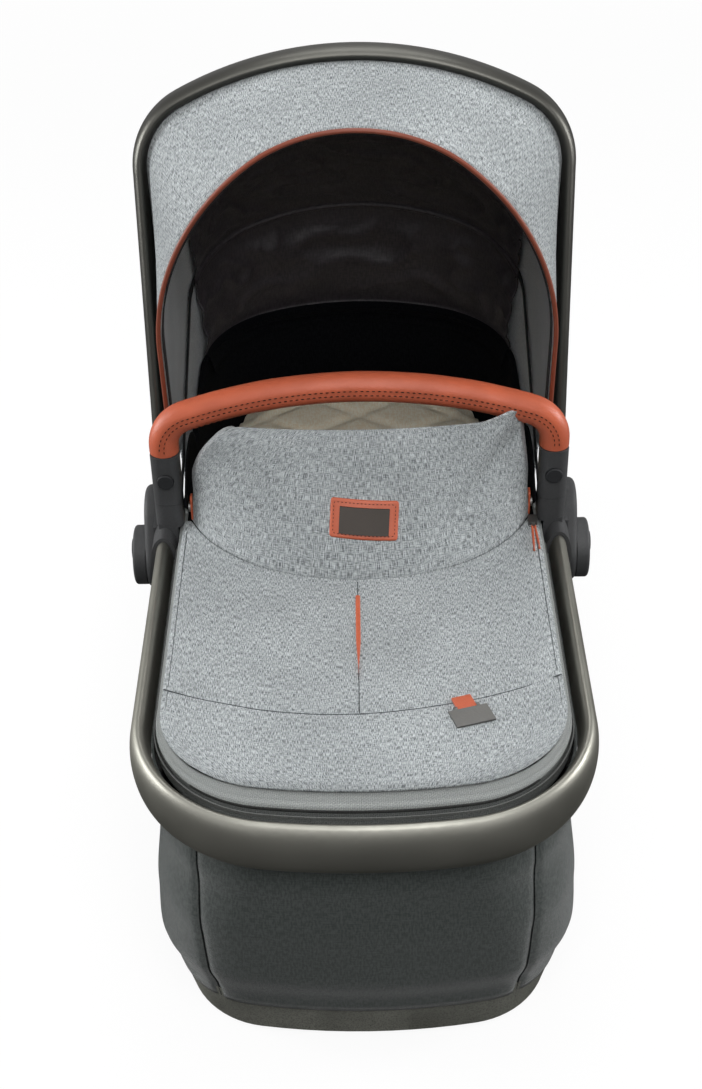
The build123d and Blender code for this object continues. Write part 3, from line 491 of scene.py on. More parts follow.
@dataclass(frozen=True)
class Finish:
    """What every finish has: a name, a coordinate source, drifting tone and gloss, and a relief's depth."""

    name: str
    coords: Coords = field(default=Coords.OBJECT, kw_only=True)
    clouds: ClassVar[Clouds] = Clouds(11.0, 0.2)
    gloss_drift: ClassVar[Pair] = (0.0, -0.08)
    depth: ClassVar[float] = 0.0006

    def material(self) -> bpy.types.Material:
        """The finish's material, made the first time that it is asked for.

        Returns:
            The material.
        """
        label = f"finish_{self.name}"
        found = bpy.data.materials.get(label)
        if found is not None:
            return found
        made = bpy.data.materials.new(label)
        made.use_nodes = True
        made.node_tree.nodes.clear()
        graph = Graph(made.node_tree)
        vector = graph.add("ShaderNodeTexCoord").outputs[self.coords.value]
        shader = graph.add("ShaderNodeBsdfPrincipled", self.shade(graph, vector))
        graph.add("ShaderNodeOutputMaterial", {"Surface": shader.outputs[0]})
        return made

    def shade(self, graph: Graph, vector: bpy.types.NodeSocket) -> dict[str, object]:
        """Gives the surface shader's inputs; each kind of finish has its own.

        Args:
            graph: the material's graph.
            vector: the pattern's coordinates.

        Returns:
            The surface shader's inputs.
        """
        raise NotImplementedError

    def tone(self, graph: Graph, vector: object, colour: object, shade: object) -> bpy.types.NodeOutputs:
        """A colour that drifts towards a shade.

        Args:
            graph: the material's graph.
            vector: the pattern's coordinates.
            colour: the finish's own colour.
            shade: the colour that it drifts towards.

        Returns:
            The effect's colour and tone.
        """
        values = {"Vector": vector, "Scale": self.clouds.scale, "Amount": self.clouds.amount}
        return MOTTLE.place(graph, {**values, "Color": colour, "Shade": shade})

    def uneven(self, graph: Graph, tone: object, roughness: float) -> bpy.types.NodeSocket:
        """A roughness that drifts with a tone."""
        low, high = self.gloss_drift
        return graph.spread(tone, (0.0, 1.0), (roughness + low, roughness + high))

    def bump(self, graph: Graph, height: object, strength: float) -> bpy.types.NodeSocket:
        """A normal bent by a height."""
        values = {"Height": height, "Strength": strength, "Distance": self.depth}
        return graph.add("ShaderNodeBump", values).outputs[0]


@dataclass(frozen=True)
class Cloth(Finish):
    """Woven cloth of two yarns."""

    dark: Colour = (0.3, 0.3, 0.3)
    light: Colour = (0.5, 0.5, 0.5)
    streaks: float = 620.0
    stretch: float = 4.0
    threads: float = 1700.0
    roughness: float = 0.92
    sheen: float = 0.06
    relief: float = 0.45
    # Painted shade between the threads: how much, how dark, and below which weave height the colour darkens
    # (this field and the two gap fields below).
    gap_shade: float = 0.0
    gloss: float = 0.03
    shade_share: float = 0.82
    gap_shade_tone: float = 0.45
    gap_height: float = 0.8
    yarn_relief: float = 0.6
    sheen_roughness: float = 0.45

    def shade(self, graph: Graph, vector: bpy.types.NodeSocket) -> dict[str, object]:
        """Flecked yarn, a slow change of tone, painted shade between the threads and a thread relief.

        Args:
            graph: the material's graph.
            vector: the pattern's coordinates.

        Returns:
            The surface shader's inputs.
        """
        yarns = {"Dark": rgba(self.dark), "Light": rgba(self.light)}
        values = {"Vector": vector, "Scale": self.streaks, "Stretch": self.stretch}
        fleck = FLECK.place(graph, {**values, **yarns})
        toned = self.tone(graph, vector, fleck["Color"], rgba(self.dark, self.shade_share))
        height = WEAVE.place(graph, {"Vector": vector, "Threads": self.threads})["Height"]
        raised = graph.math("ADD", height, graph.math("MULTIPLY", fleck["Tone"], self.yarn_relief))
        # Painted shade: where the weave is low, between the threads, the colour drifts towards a dimmed copy
        # of the dark yarn.
        gap_shade_share = graph.spread(height, (0.0, self.gap_height), (self.gap_shade, 0.0))
        return {
            "Base Color": graph.mix(gap_shade_share, toned["Color"], rgba(self.dark, self.gap_shade_tone)),
            "Roughness": self.uneven(graph, fleck["Tone"], self.roughness),
            "Sheen Weight": self.sheen,
            "Sheen Roughness": self.sheen_roughness,
            "Specular IOR Level": self.gloss,
            "Normal": self.bump(graph, raised, self.relief),
        }


@dataclass(frozen=True)
class Leather(Finish):
    """Coated leather with a pebbled grain."""

    base: Colour = (0.52, 0.114, 0.053)
    worn: Colour = (0.27, 0.058, 0.028)
    roughness: float = 0.40
    cells: float = 900.0
    fine: float = 0.4
    relief: float = 0.35
    gloss: float = 0.35
    clouds: ClassVar[Clouds] = Clouds(26.0, 0.35)
    gloss_drift: ClassVar[Pair] = (-0.06, 0.1)

    def shade(self, graph: Graph, vector: bpy.types.NodeSocket) -> dict[str, object]:
        """Grain, darker handling marks and a change of gloss.

        Args:
            graph: the material's graph.
            vector: the pattern's coordinates.

        Returns:
            The surface shader's inputs.
        """
        toned = self.tone(graph, vector, rgba(self.base), rgba(self.worn))
        grain = GRAIN.place(graph, {"Vector": vector, "Scale": self.cells, "Fine": self.fine})
        return {
            "Base Color": toned["Color"],
            "Roughness": self.uneven(graph, toned["Tone"], self.roughness),
            "Specular IOR Level": self.gloss,
            "Normal": self.bump(graph, grain["Height"], self.relief),
        }


@dataclass(frozen=True)
class Metal(Finish):
    """Bare, plated or anodised metal."""

    base: Colour = (0.2, 0.2, 0.19)
    metallic: float = 1.0
    roughness: float = 0.35
    relief: float = 0.12
    cells: float = 1400.0
    edge: float = 1.0
    shade_share: float = 0.8
    detail: float = 2.0
    clouds: ClassVar[Clouds] = Clouds(14.0, 0.5)
    gloss_drift: ClassVar[Pair] = (-0.05, 0.05)
    depth: ClassVar[float] = 0.0004

    def shade(self, graph: Graph, vector: bpy.types.NodeSocket) -> dict[str, object]:
        """A fine blasted grain and a slow change of gloss.

        Args:
            graph: the material's graph.
            vector: the pattern's coordinates.

        Returns:
            The surface shader's inputs.
        """
        toned = self.tone(graph, vector, rgba(self.base), rgba(self.base, self.shade_share))
        return {
            "Base Color": toned["Color"],
            "Metallic": self.metallic,
            "Specular Tint": rgba((self.edge, self.edge, self.edge)),
            "Roughness": self.uneven(graph, toned["Tone"], self.roughness),
            "Normal": self.bump(graph, graph.noise(vector, self.cells, self.detail), self.relief),
        }


@dataclass(frozen=True)
class Moulded(Finish):
    """Moulded plastic or rubber with a spark-eroded texture."""

    base: Colour = (0.02, 0.02, 0.022)
    fleck: Colour = (0.035, 0.035, 0.037)
    roughness: float = 0.5
    cells: float = 1300.0
    relief: float = 0.3
    fine: float = 0.8
    peaks: Pair = (0.3, 0.9)
    gloss: float = 0.2
    clouds: ClassVar[Clouds] = Clouds(18.0, 0.5)
    gloss_drift: ClassVar[Pair] = (-0.05, 0.07)
    depth: ClassVar[float] = 0.0005

    def shade(self, graph: Graph, vector: bpy.types.NodeSocket) -> dict[str, object]:
        """Fine texture with paler peaks.

        Args:
            graph: the material's graph.
            vector: the pattern's coordinates.

        Returns:
            The surface shader's inputs.
        """
        grain = GRAIN.place(graph, {"Vector": vector, "Scale": self.cells, "Fine": self.fine})
        peaks = graph.spread(grain["Height"], self.peaks)
        colour = graph.mix(peaks, rgba(self.base), rgba(self.fleck))
        toned = self.tone(graph, vector, colour, rgba(self.base))
        return {
            "Base Color": toned["Color"],
            "Roughness": self.uneven(graph, toned["Tone"], self.roughness),
            "Specular IOR Level": self.gloss,
            "Normal": self.bump(graph, grain["Height"], self.relief),
        }


MELANGE = Cloth(
    "melange_cloth", (0.135, 0.148, 0.154), (0.63, 0.668, 0.678), 2150.0, 13.0, 1250.0,
    gap_shade=0.2, coords=Coords.UV,
)
# The cloth's inner face: paler than the outer face, and drawn paler still as painted light inside the hood.
LIT_MELANGE_BACK = Cloth("melange_back", (0.56, 0.59, 0.61), (0.88, 0.90, 0.92), 2150.0, 13.0, coords=Coords.UV)
# Painted seam shadow: dark strips laid in the sewn grooves of the apron and the hood.
SEAM_SHADOW_CLOTH = Cloth("seam_shadow_cloth", (0.05, 0.056, 0.06), (0.10, 0.11, 0.115))
BODY_CLOTH = Cloth(
    "body_cloth", (0.048, 0.056, 0.053), (0.078, 0.088, 0.084), relief=0.3, sheen=0.35, coords=Coords.UV
)
BODY_SEAM = Cloth("body_seam_cloth", (0.006, 0.007, 0.007), (0.012, 0.013, 0.013), sheen=0.1)
LINING_CLOTH = Cloth(
    "lining_cloth", (0.04, 0.034, 0.039), (0.064, 0.056, 0.062),
    roughness=0.5, relief=0.2, gloss=0.42, coords=Coords.UV,
)
# A near-black copy of the lining cloth: its own dark colour plus painted shade, for the tub's deep inside,
# the gussets, the rim's binding and the lining's tuck.
SHADED_LINER_CLOTH = Cloth(
    "liner_cloth", (0.004, 0.0045, 0.006), (0.008, 0.0085, 0.0105), sheen=0.01, coords=Coords.UV
)
# Beige cloth drawn paler than its own colour: painted light on the mattress deep in the tub.
LIT_MATTRESS_CLOTH = Cloth("mattress_cloth", (0.92, 0.79, 0.58), (0.98, 0.92, 0.76), relief=0.3)
TAPE_CLOTH = Cloth(
    "tape_cloth", (0.30, 0.318, 0.31), (0.46, 0.48, 0.47), 2200.0, 3.0, 560.0,
    relief=0.9, gap_shade=0.55, coords=Coords.UV,
)
# A darker copy of the tape cloth for the band below the zip: partly the band's own darker twill, partly
# painted shade.
TAPE_SHADED_EDGE = Cloth(
    "tape_edge_cloth", (0.11, 0.117, 0.113), (0.19, 0.2, 0.195), 2200.0, 3.0, 560.0,
    relief=0.9, gap_shade=0.5, coords=Coords.UV,
)
ZIP_COIL = Moulded("zip_coil", (0.07, 0.073, 0.07), (0.15, 0.155, 0.15), 0.6, 700.0, 0.8)
ZIP_LINE = Moulded("zip_line", (0.012, 0.0125, 0.012), (0.03, 0.031, 0.03), 0.5, 700.0, 0.8)
TAN_LEATHER = Leather("tan_leather")
PIPING_LEATHER = Leather("piping_leather", (0.22, 0.053, 0.028), (0.13, 0.03, 0.015))
STITCH_THREAD = Cloth("stitch_thread", (0.028, 0.012, 0.008), (0.06, 0.028, 0.02), sheen=0.1)
TAN_THREAD = Cloth("tan_thread", (0.36, 0.12, 0.06), (0.55, 0.22, 0.13), sheen=0.1)
GUNMETAL = Metal("gunmetal", (0.28, 0.276, 0.245), 1.0, 0.48, edge=0.25)
# A darker copy of the front tube's gunmetal for the arch: painted shade that dims the arch's reflections.
SHADED_ARCH_METAL = Metal("arch_metal", (0.09, 0.0885, 0.08), 1.0, 0.42, edge=0.9)
STEEL = Metal("steel", (0.46, 0.45, 0.43), 1.0, 0.28)
BRIGHT_METAL = Metal("bright_metal", (0.17, 0.168, 0.16), 0.9, 0.4, 0.9, 420.0)
DARK_PLATE = Metal("dark_plate", (0.034, 0.026, 0.02), 0.2, 0.62, 0.5, 900.0)
HUB_PLASTIC = Moulded("hub_plastic", (0.032, 0.033, 0.034), (0.066, 0.067, 0.069), 0.46)
BUTTON_PLASTIC = Moulded("button_plastic", (0.012, 0.0125, 0.0135), (0.026, 0.027, 0.029), 0.5)
BASE_PLASTIC = Moulded("base_plastic", (0.055, 0.056, 0.048), (0.2, 0.202, 0.176), 0.62, 700.0, 0.8)
RUBBER = Moulded("foot_rubber", (0.012, 0.012, 0.012), (0.02, 0.02, 0.02), 0.75)
FOAM = Moulded("foam", (0.03, 0.03, 0.03), (0.05, 0.05, 0.05), 0.9)


@dataclass(frozen=True)
class Stitch:
    """One kind of sewing stitch."""

    length: float
    gap: float
    thick: float


@dataclass
class Sewing:
    """Makes meshes from flat grids and rows of stitches."""

    weld: float = 1e-6
    ribbon_cells: int = 6
    ribbon_sink: float = 0.15
    stitch_lift: float = 0.2
    tube_up: Vector = fixed(0.0, 0.34, 0.94)

    def to_object(self, name: str, bm: bmesh.types.BMesh) -> bpy.types.Object:
        """Turns a bmesh into a smooth-shaded object at the origin.

        Args:
            name: the piece's name.
            bm: the bmesh, which is freed.

        Returns:
            The new object.
        """
        mesh = bpy.data.meshes.new(name)
        bm.to_mesh(mesh)
        bm.free()
        for polygon in mesh.polygons:
            polygon.use_smooth = True
        obj = bpy.data.objects.new(name, mesh)
        bpy.context.scene.collection.objects.link(obj)
        return obj

    def turn_out(self, obj: bpy.types.Object) -> None:
        """Turns the faces of a closed piece outwards.

        Args:
            obj: the piece.
        """
        bm = bmesh.new()
        bm.from_mesh(obj.data)
        bmesh.ops.recalc_face_normals(bm, faces=bm.faces)
        bm.to_mesh(obj.data)
        bm.free()

    def sheet(
        self,
        name: str,
        places: Sequence[Place],
        cells: tuple[int, int],
        size: Pair,
        behind: Vector,
        facing: Facing = Facing.AWAY,
    ) -> bpy.types.Object:
        """Bends flat grids into a sheet, and closes it where its edges meet.

        Args:
            name: the piece's name.
            places: for each grid, where its point at a share across and a share along goes.
            cells: faces across and along.
            size: the flat width and length, for the pattern's coordinates.
            behind: a point on the sheet's inner side.
            facing: which way the outer side looks from that point.

        Returns:
            The new object.
        """
        bm = bmesh.new()
        uv = bm.loops.layers.uv.new("UVMap")
        for place in places:
            made = bmesh.ops.create_grid(bm, x_segments=cells[0], y_segments=cells[1], size=0.5)["verts"]
            spots = {vert: (vert.co.x + 0.5, vert.co.y + 0.5) for vert in made}
            faces = {face for vert in made for face in vert.link_faces}
            for face in faces:
                for loop in face.loops:
                    across, along = spots[loop.vert]
                    loop[uv].uv = (across * size[0], along * size[1])
            for vert, (across, along) in spots.items():
                vert.co = place(across, along)
            bm.normal_update()
            looks = [f.calc_area() * f.normal.dot(f.calc_center_median() - behind) for f in faces]
            if sum(looks) * facing.value < 0.0:
                bmesh.ops.reverse_faces(bm, faces=list(faces))
        bmesh.ops.remove_doubles(bm, verts=bm.verts, dist=self.weld)
        bm.normal_update()
        return self.to_object(name, bm)

    def ribbon(
        self, name: str, path: Path, width: float, height: float, taper: float = 0.0
    ) -> bpy.types.Object:
        """Lays a low rounded strip along points on a surface.

        Args:
            name: the piece's name.
            path: points and outward directions.
            width: the strip's width.
            height: how far it stands off the surface.
            taper: the share of its length at its far end over which it narrows to a point.

        Returns:
            The new object.
        """
        count = len(path) - 1

        def place(across: float, along: float) -> Vector:
            """A point on the strip.

            Args:
                across: the way over its width.
                along: the way along it.

            Returns:
                The point.
            """
            index = min(int(round(along * count)), count)
            point, normal = path[index]
            ahead = path[min(index + 1, count)][0] - path[max(index - 1, 0)][0]
            side = ahead.cross(normal).normalized()
            ends = smooth((1.0 - along) / taper) if taper else 1.0
            turn = math.pi * across
            off = normal * (math.sin(turn) - self.ribbon_sink) * height
            return point - side * math.cos(turn) * width * ends / 2 + off

        length = sum((b[0] - a[0]).length for a, b in zip(path, path[1:]))
        middle = path[count // 2]
        behind = middle[0] - middle[1]
        return self.sheet(name, [place], (self.ribbon_cells, count), (width, length), behind)

    def band(self, obj: bpy.types.Object, finish: Finish, low: float, high: float) -> None:
        """Gives a sheet a second finish between two distances along it.

        Args:
            obj: the sheet.
            finish: the second finish.
            low: where the second finish begins.
            high: where it ends.
        """
        obj.data.materials.append(finish.material())
        spots = obj.data.uv_layers[0].data
        for polygon in obj.data.polygons:
            reach = sum(spots[loop].uv.y for loop in polygon.loop_indices) / polygon.loop_total
            polygon.material_index = 1 if low < reach < high else 0

    def stitches(self, name: str, path: Path, stitch: Stitch) -> bpy.types.Object:
        """Sews a row of stitches along points on a surface.

        Args:
            name: the piece's name.
            path: points and outward directions.
            stitch: the kind of stitch.

        Returns:
            The new object.
        """
        bm = bmesh.new()
        step = stitch.length + stitch.gap
        due = step / 2
        for (a, normal), (b, _) in zip(path, path[1:]):
            span = (b - a).length
            while due <= span and span > 0.0:
                along = (b - a) / span
                side = along.cross(normal).normalized()
                spot = a + along * due + normal * stitch.thick * self.stitch_lift
                axes = (along * stitch.length, side * stitch.thick, normal * stitch.thick)
                rows = [(*[axis[row] for axis in axes], spot[row]) for row in range(3)]
                matrix = Matrix([*rows, (0, 0, 0, 1)])
                bmesh.ops.create_icosphere(bm, subdivisions=1, radius=0.5, matrix=matrix)
                due += step
            due -= span
        bmesh.ops.recalc_face_normals(bm, faces=bm.faces)
        return self.to_object(name, bm)

    def tube(
        self,
        name: str,
        line: Callable[[float], Vector],
        radius: float,
        cells: tuple[int, int],
        length: float,
    ) -> bpy.types.Object:
        """Sweeps a round section along a line, with rounded closed ends.

        Args:
            name: the piece's name.
            line: the point at a share of the way along.
            radius: the tube's radius.
            cells: faces round and along.
            length: the line's length.

        Returns:
            The new object.
        """
        step = 0.5 / cells[1]

        def place(around: float, along: float) -> Vector:
            """A point on the tube.

            Args:
                around: the way round it.
                along: the way along it.

            Returns:
                The point.
            """
            point = line(along)
            ahead = (line(min(along + step, 1.0)) - line(max(along - step, 0.0))).normalized()
            side = ahead.cross(self.tube_up).normalized()
            up = side.cross(ahead)
            near = min(along, 1.0 - along) * length / radius
            thick = radius * math.sqrt(1.0 - (1.0 - min(near, 1.0)) ** 2)
            turn = math.tau * around
            return point + (side * math.cos(turn) + up * math.sin(turn)) * thick

        obj = self.sheet(name, [place], cells, (math.tau * radius, length), line(0.5))
        self.turn_out(obj)
        return obj


SEWING = Sewing()


def thicken(obj: bpy.types.Object, wall: float, back: Finish | None = None) -> None:
    """Gives a sheet a wall behind its outer face.

    Args:
        obj: the sheet, already dressed where it has a back.
        wall: the wall's thickness.
        back: a finish for the inner face, the sheet's own where none is given.
    """
    modifier = obj.modifiers.new("Wall", "SOLIDIFY")
    modifier.thickness = wall
    modifier.offset = -1.0
    if back is not None:
        obj.data.materials.append(back.material())
        modifier.material_offset = 1


def soften(obj: bpy.types.Object) -> None:
    """Rounds a piece with one subdivision.

    Args:
        obj: the piece.
    """
    modifier = obj.modifiers.new("Round", "SUBSURF")
    modifier.levels = 1
    modifier.render_levels = 1


@dataclass
class Assembly:
    """What every sub-assembly shares: dressing pieces and keeping a list of them."""

    made: list[str] = field(default_factory=list)

    def dress(
        self, obj: bpy.types.Object, finish: Finish, slot: str, *nodes: str, rides: str | None = None
    ) -> None:
        """Gives a new piece its finish, the CAD nodes that it stands for and the body that carries it.

        Args:
            obj: the piece.
            finish: its finish.
            slot: the record's material slot; not used.
            nodes: the CAD nodes that it replaces.
            rides: the body that it moves with, where it doesn't bend between two.
        """
        obj.data.materials.append(finish.material())
        if nodes:
            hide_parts(*nodes)
        if rides is not None:
            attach(obj, rides)
        self.made.append(obj.name)

    def paint(self, finish: Finish, *nodes: str) -> None:
        """Gives CAD nodes a finish.

        Args:
            finish: the finish.
            nodes: the nodes' names.
        """
        for node in nodes:
            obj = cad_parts[node]
            obj.data.materials.clear()
            obj.data.materials.append(finish.material())
            self.made.append(node)

    def shorten(self, spring: str, joint: str, push: Vector, keep: float) -> None:
        """Gives a spring its own copy of its mesh; nothing makes it shorten towards its seat as its button is
        pressed.

        Args:
            spring: the spring's node.
            joint: the button's joint; not used.
            push: the way the button moves; not used.
            keep: the share of the spring's length left when the button is down; not used.
        """
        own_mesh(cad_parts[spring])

    def declare(self, obj: bpy.types.Object, flat: Pair, area: float, held: Held, *carriers: str) -> None:
        """Takes a cut sheet of cloth and what carries it, and does nothing with them."""


@dataclass(frozen=True)
class Lamp:
    """A round soft lamp."""

    name: str
    spot: tuple[float, float, float]
    size: float
    power: float


@dataclass
class Studio:
    """Camera, lamps, floor and sky."""

    lens: float = 56.65
    sensor: float = 36.0
    far_clip: float = 50.0
    camera_at: Vector = fixed(0.002, -1.364, 1.257)
    pitch: float = 36.766
    yaw: float = -0.5
    roll: float = -1.3
    aim: Vector = fixed(0.0, -0.1, 0.35)
    lamps: tuple[Lamp, ...] = (
        Lamp("lamp_over", (0.05, -0.3, 2.5), 1.1, 10.0),
        Lamp("lamp_back", (0.1, 1.1, 2.3), 1.2, 17.0),
        Lamp("lamp_left", (-2.0, 0.2, 0.7), 0.9, 36.0),
        Lamp("lamp_right", (2.0, 0.2, 0.8), 0.9, 26.0),
        Lamp("lamp_front", (0.2, -1.5, 1.9), 1.5, 26.0),
    )
    sky: float = 0.22
    wall_span: Pair = (-0.5, 0.5)
    wall_light: Pair = (1.0, 0.5)
    floor_half: float = 6.0
    floor_cells: int = 8
    floor_bounce: Colour = (0.10, 0.10, 0.10)
    floor_pale: Colour = (0.92, 0.92, 0.92)
    white: Colour = (1.0, 1.0, 1.0)
    glow_span: Pair = (0.9, 3.0)
    glow_share: Pair = (0.91, 1.0)

    def build(self) -> None:
        """Sets up the whole studio."""
        self.build_camera()
        self.build_lamps()
        self.build_floor()
        self.build_sky()
        bpy.context.scene.view_settings.view_transform = "Standard"

    def build_camera(self) -> None:
        """Stands the camera where the photograph was taken from."""
        data = bpy.data.cameras.new("camera")
        data.sensor_fit = "VERTICAL"
        data.sensor_height = self.sensor
        data.lens = self.lens
        data.clip_end = self.far_clip
        camera = bpy.data.objects.new("camera", data)
        bpy.context.scene.collection.objects.link(camera)
        turn = Matrix.Rotation(-math.radians(self.yaw), 4, "Z")
        tip = Matrix.Rotation(math.pi / 2 - math.radians(self.pitch), 4, "X")
        lean = Matrix.Rotation(math.radians(self.roll), 4, "Z")
        camera.matrix_world = Matrix.Translation(self.camera_at) @ turn @ tip @ lean
        bpy.context.scene.camera = camera

    def build_lamps(self) -> None:
        """Hangs soft lamps over the tub, behind it, at each side and by the camera."""
        for lamp in self.lamps:
            data = bpy.data.lights.new(lamp.name, "AREA")
            data.shape = "DISK"
            data.size = lamp.size
            data.energy = lamp.power
            hung = bpy.data.objects.new(lamp.name, data)
            bpy.context.scene.collection.objects.link(hung)
            hung.location = lamp.spot
            toward = self.aim - Vector(lamp.spot)
            hung.rotation_euler = toward.to_track_quat("-Z", "Y").to_euler()

    def build_floor(self) -> None:
        """Lays a pale floor that keeps the object's shadow."""
        bm = bmesh.new()
        cells = self.floor_cells
        bmesh.ops.create_grid(bm, x_segments=cells, y_segments=cells, size=self.floor_half)
        floor = SEWING.to_object("floor", bm)
        material = bpy.data.materials.new("pale_floor")
        material.use_nodes = True
        material.node_tree.nodes.clear()
        graph = Graph(material.node_tree)
        seen = graph.add("ShaderNodeLightPath").outputs["Is Camera Ray"]
        pale = graph.mix(seen, rgba(self.floor_bounce), rgba(self.floor_pale))
        matt = graph.add("ShaderNodeBsdfDiffuse", {"Color": pale})
        glow = graph.add("ShaderNodeEmission", {"Color": rgba(self.white), "Strength": 1.0})
        place = graph.add("ShaderNodeNewGeometry").outputs["Position"]
        away = graph.add("ShaderNodeVectorMath", {0: place}, operation="LENGTH").outputs["Value"]
        share = graph.math("MULTIPLY", seen, graph.spread(away, self.glow_span, self.glow_share))
        surface = graph.add("ShaderNodeMixShader", {0: share, 1: matt.outputs[0], 2: glow.outputs[0]})
        graph.add("ShaderNodeOutputMaterial", {"Surface": surface.outputs[0]})
        floor.data.materials.append(material)

    def build_sky(self) -> None:
        """Lights the object evenly, in front of a white background."""
        world = bpy.data.worlds.new("sky")
        world.use_nodes = True
        world.node_tree.nodes.clear()
        graph = Graph(world.node_tree)
        path = graph.add("ShaderNodeLightPath").outputs
        toward = graph.add("ShaderNodeTexCoord").outputs["Generated"]
        back = graph.add("ShaderNodeSeparateXYZ", {0: toward}).outputs[1]
        wall = graph.spread(back, self.wall_span, self.wall_light)
        mirrored = graph.math("MULTIPLY", path["Is Glossy Ray"], wall)
        plain = graph.math("SUBTRACT", 1.0, path["Is Glossy Ray"])
        soft = graph.math("MULTIPLY_ADD", plain, self.sky, mirrored)
        straight = graph.math("MAXIMUM", path["Is Camera Ray"], path["Is Transmission Ray"])
        strength = graph.math("MAXIMUM", soft, straight)
        sky = graph.add("ShaderNodeBackground", {"Color": rgba(self.white), "Strength": strength})
        graph.add("ShaderNodeOutputWorld", {"Surface": sky.outputs[0]})
        bpy.context.scene.world = world


@dataclass
class Frame(Assembly):
    """Front tube, hubs, lugs and their fasteners, which keep their CAD shapes."""

    def build(self) -> None:
        """Gives the rigid nodes their finishes."""
        self.paint(GUNMETAL, "front_frame")
        self.paint(STEEL, "frame_rivets", "hub_screws", "pivot_pins", *both("lug_spring"))
        self.paint(HUB_PLASTIC, *both("hub_block", "hub_inner", "hub_outer", "chassis_lug"))
        self.paint(BUTTON_PLASTIC, *both("lug_button"))
        for side, sign in SIDES.items():
            push = Vector((-sign, 0.0, 0.0))
            self.shorten(f"lug_spring_{side}", f"lug_button_{side}_press", push, keep=0.3)


@dataclass(frozen=True)
class Belly:
    """How far the cloth body stands out past the rim's outline at one height."""

    z: float
    sides: float
    ends: float
    trim_share: float


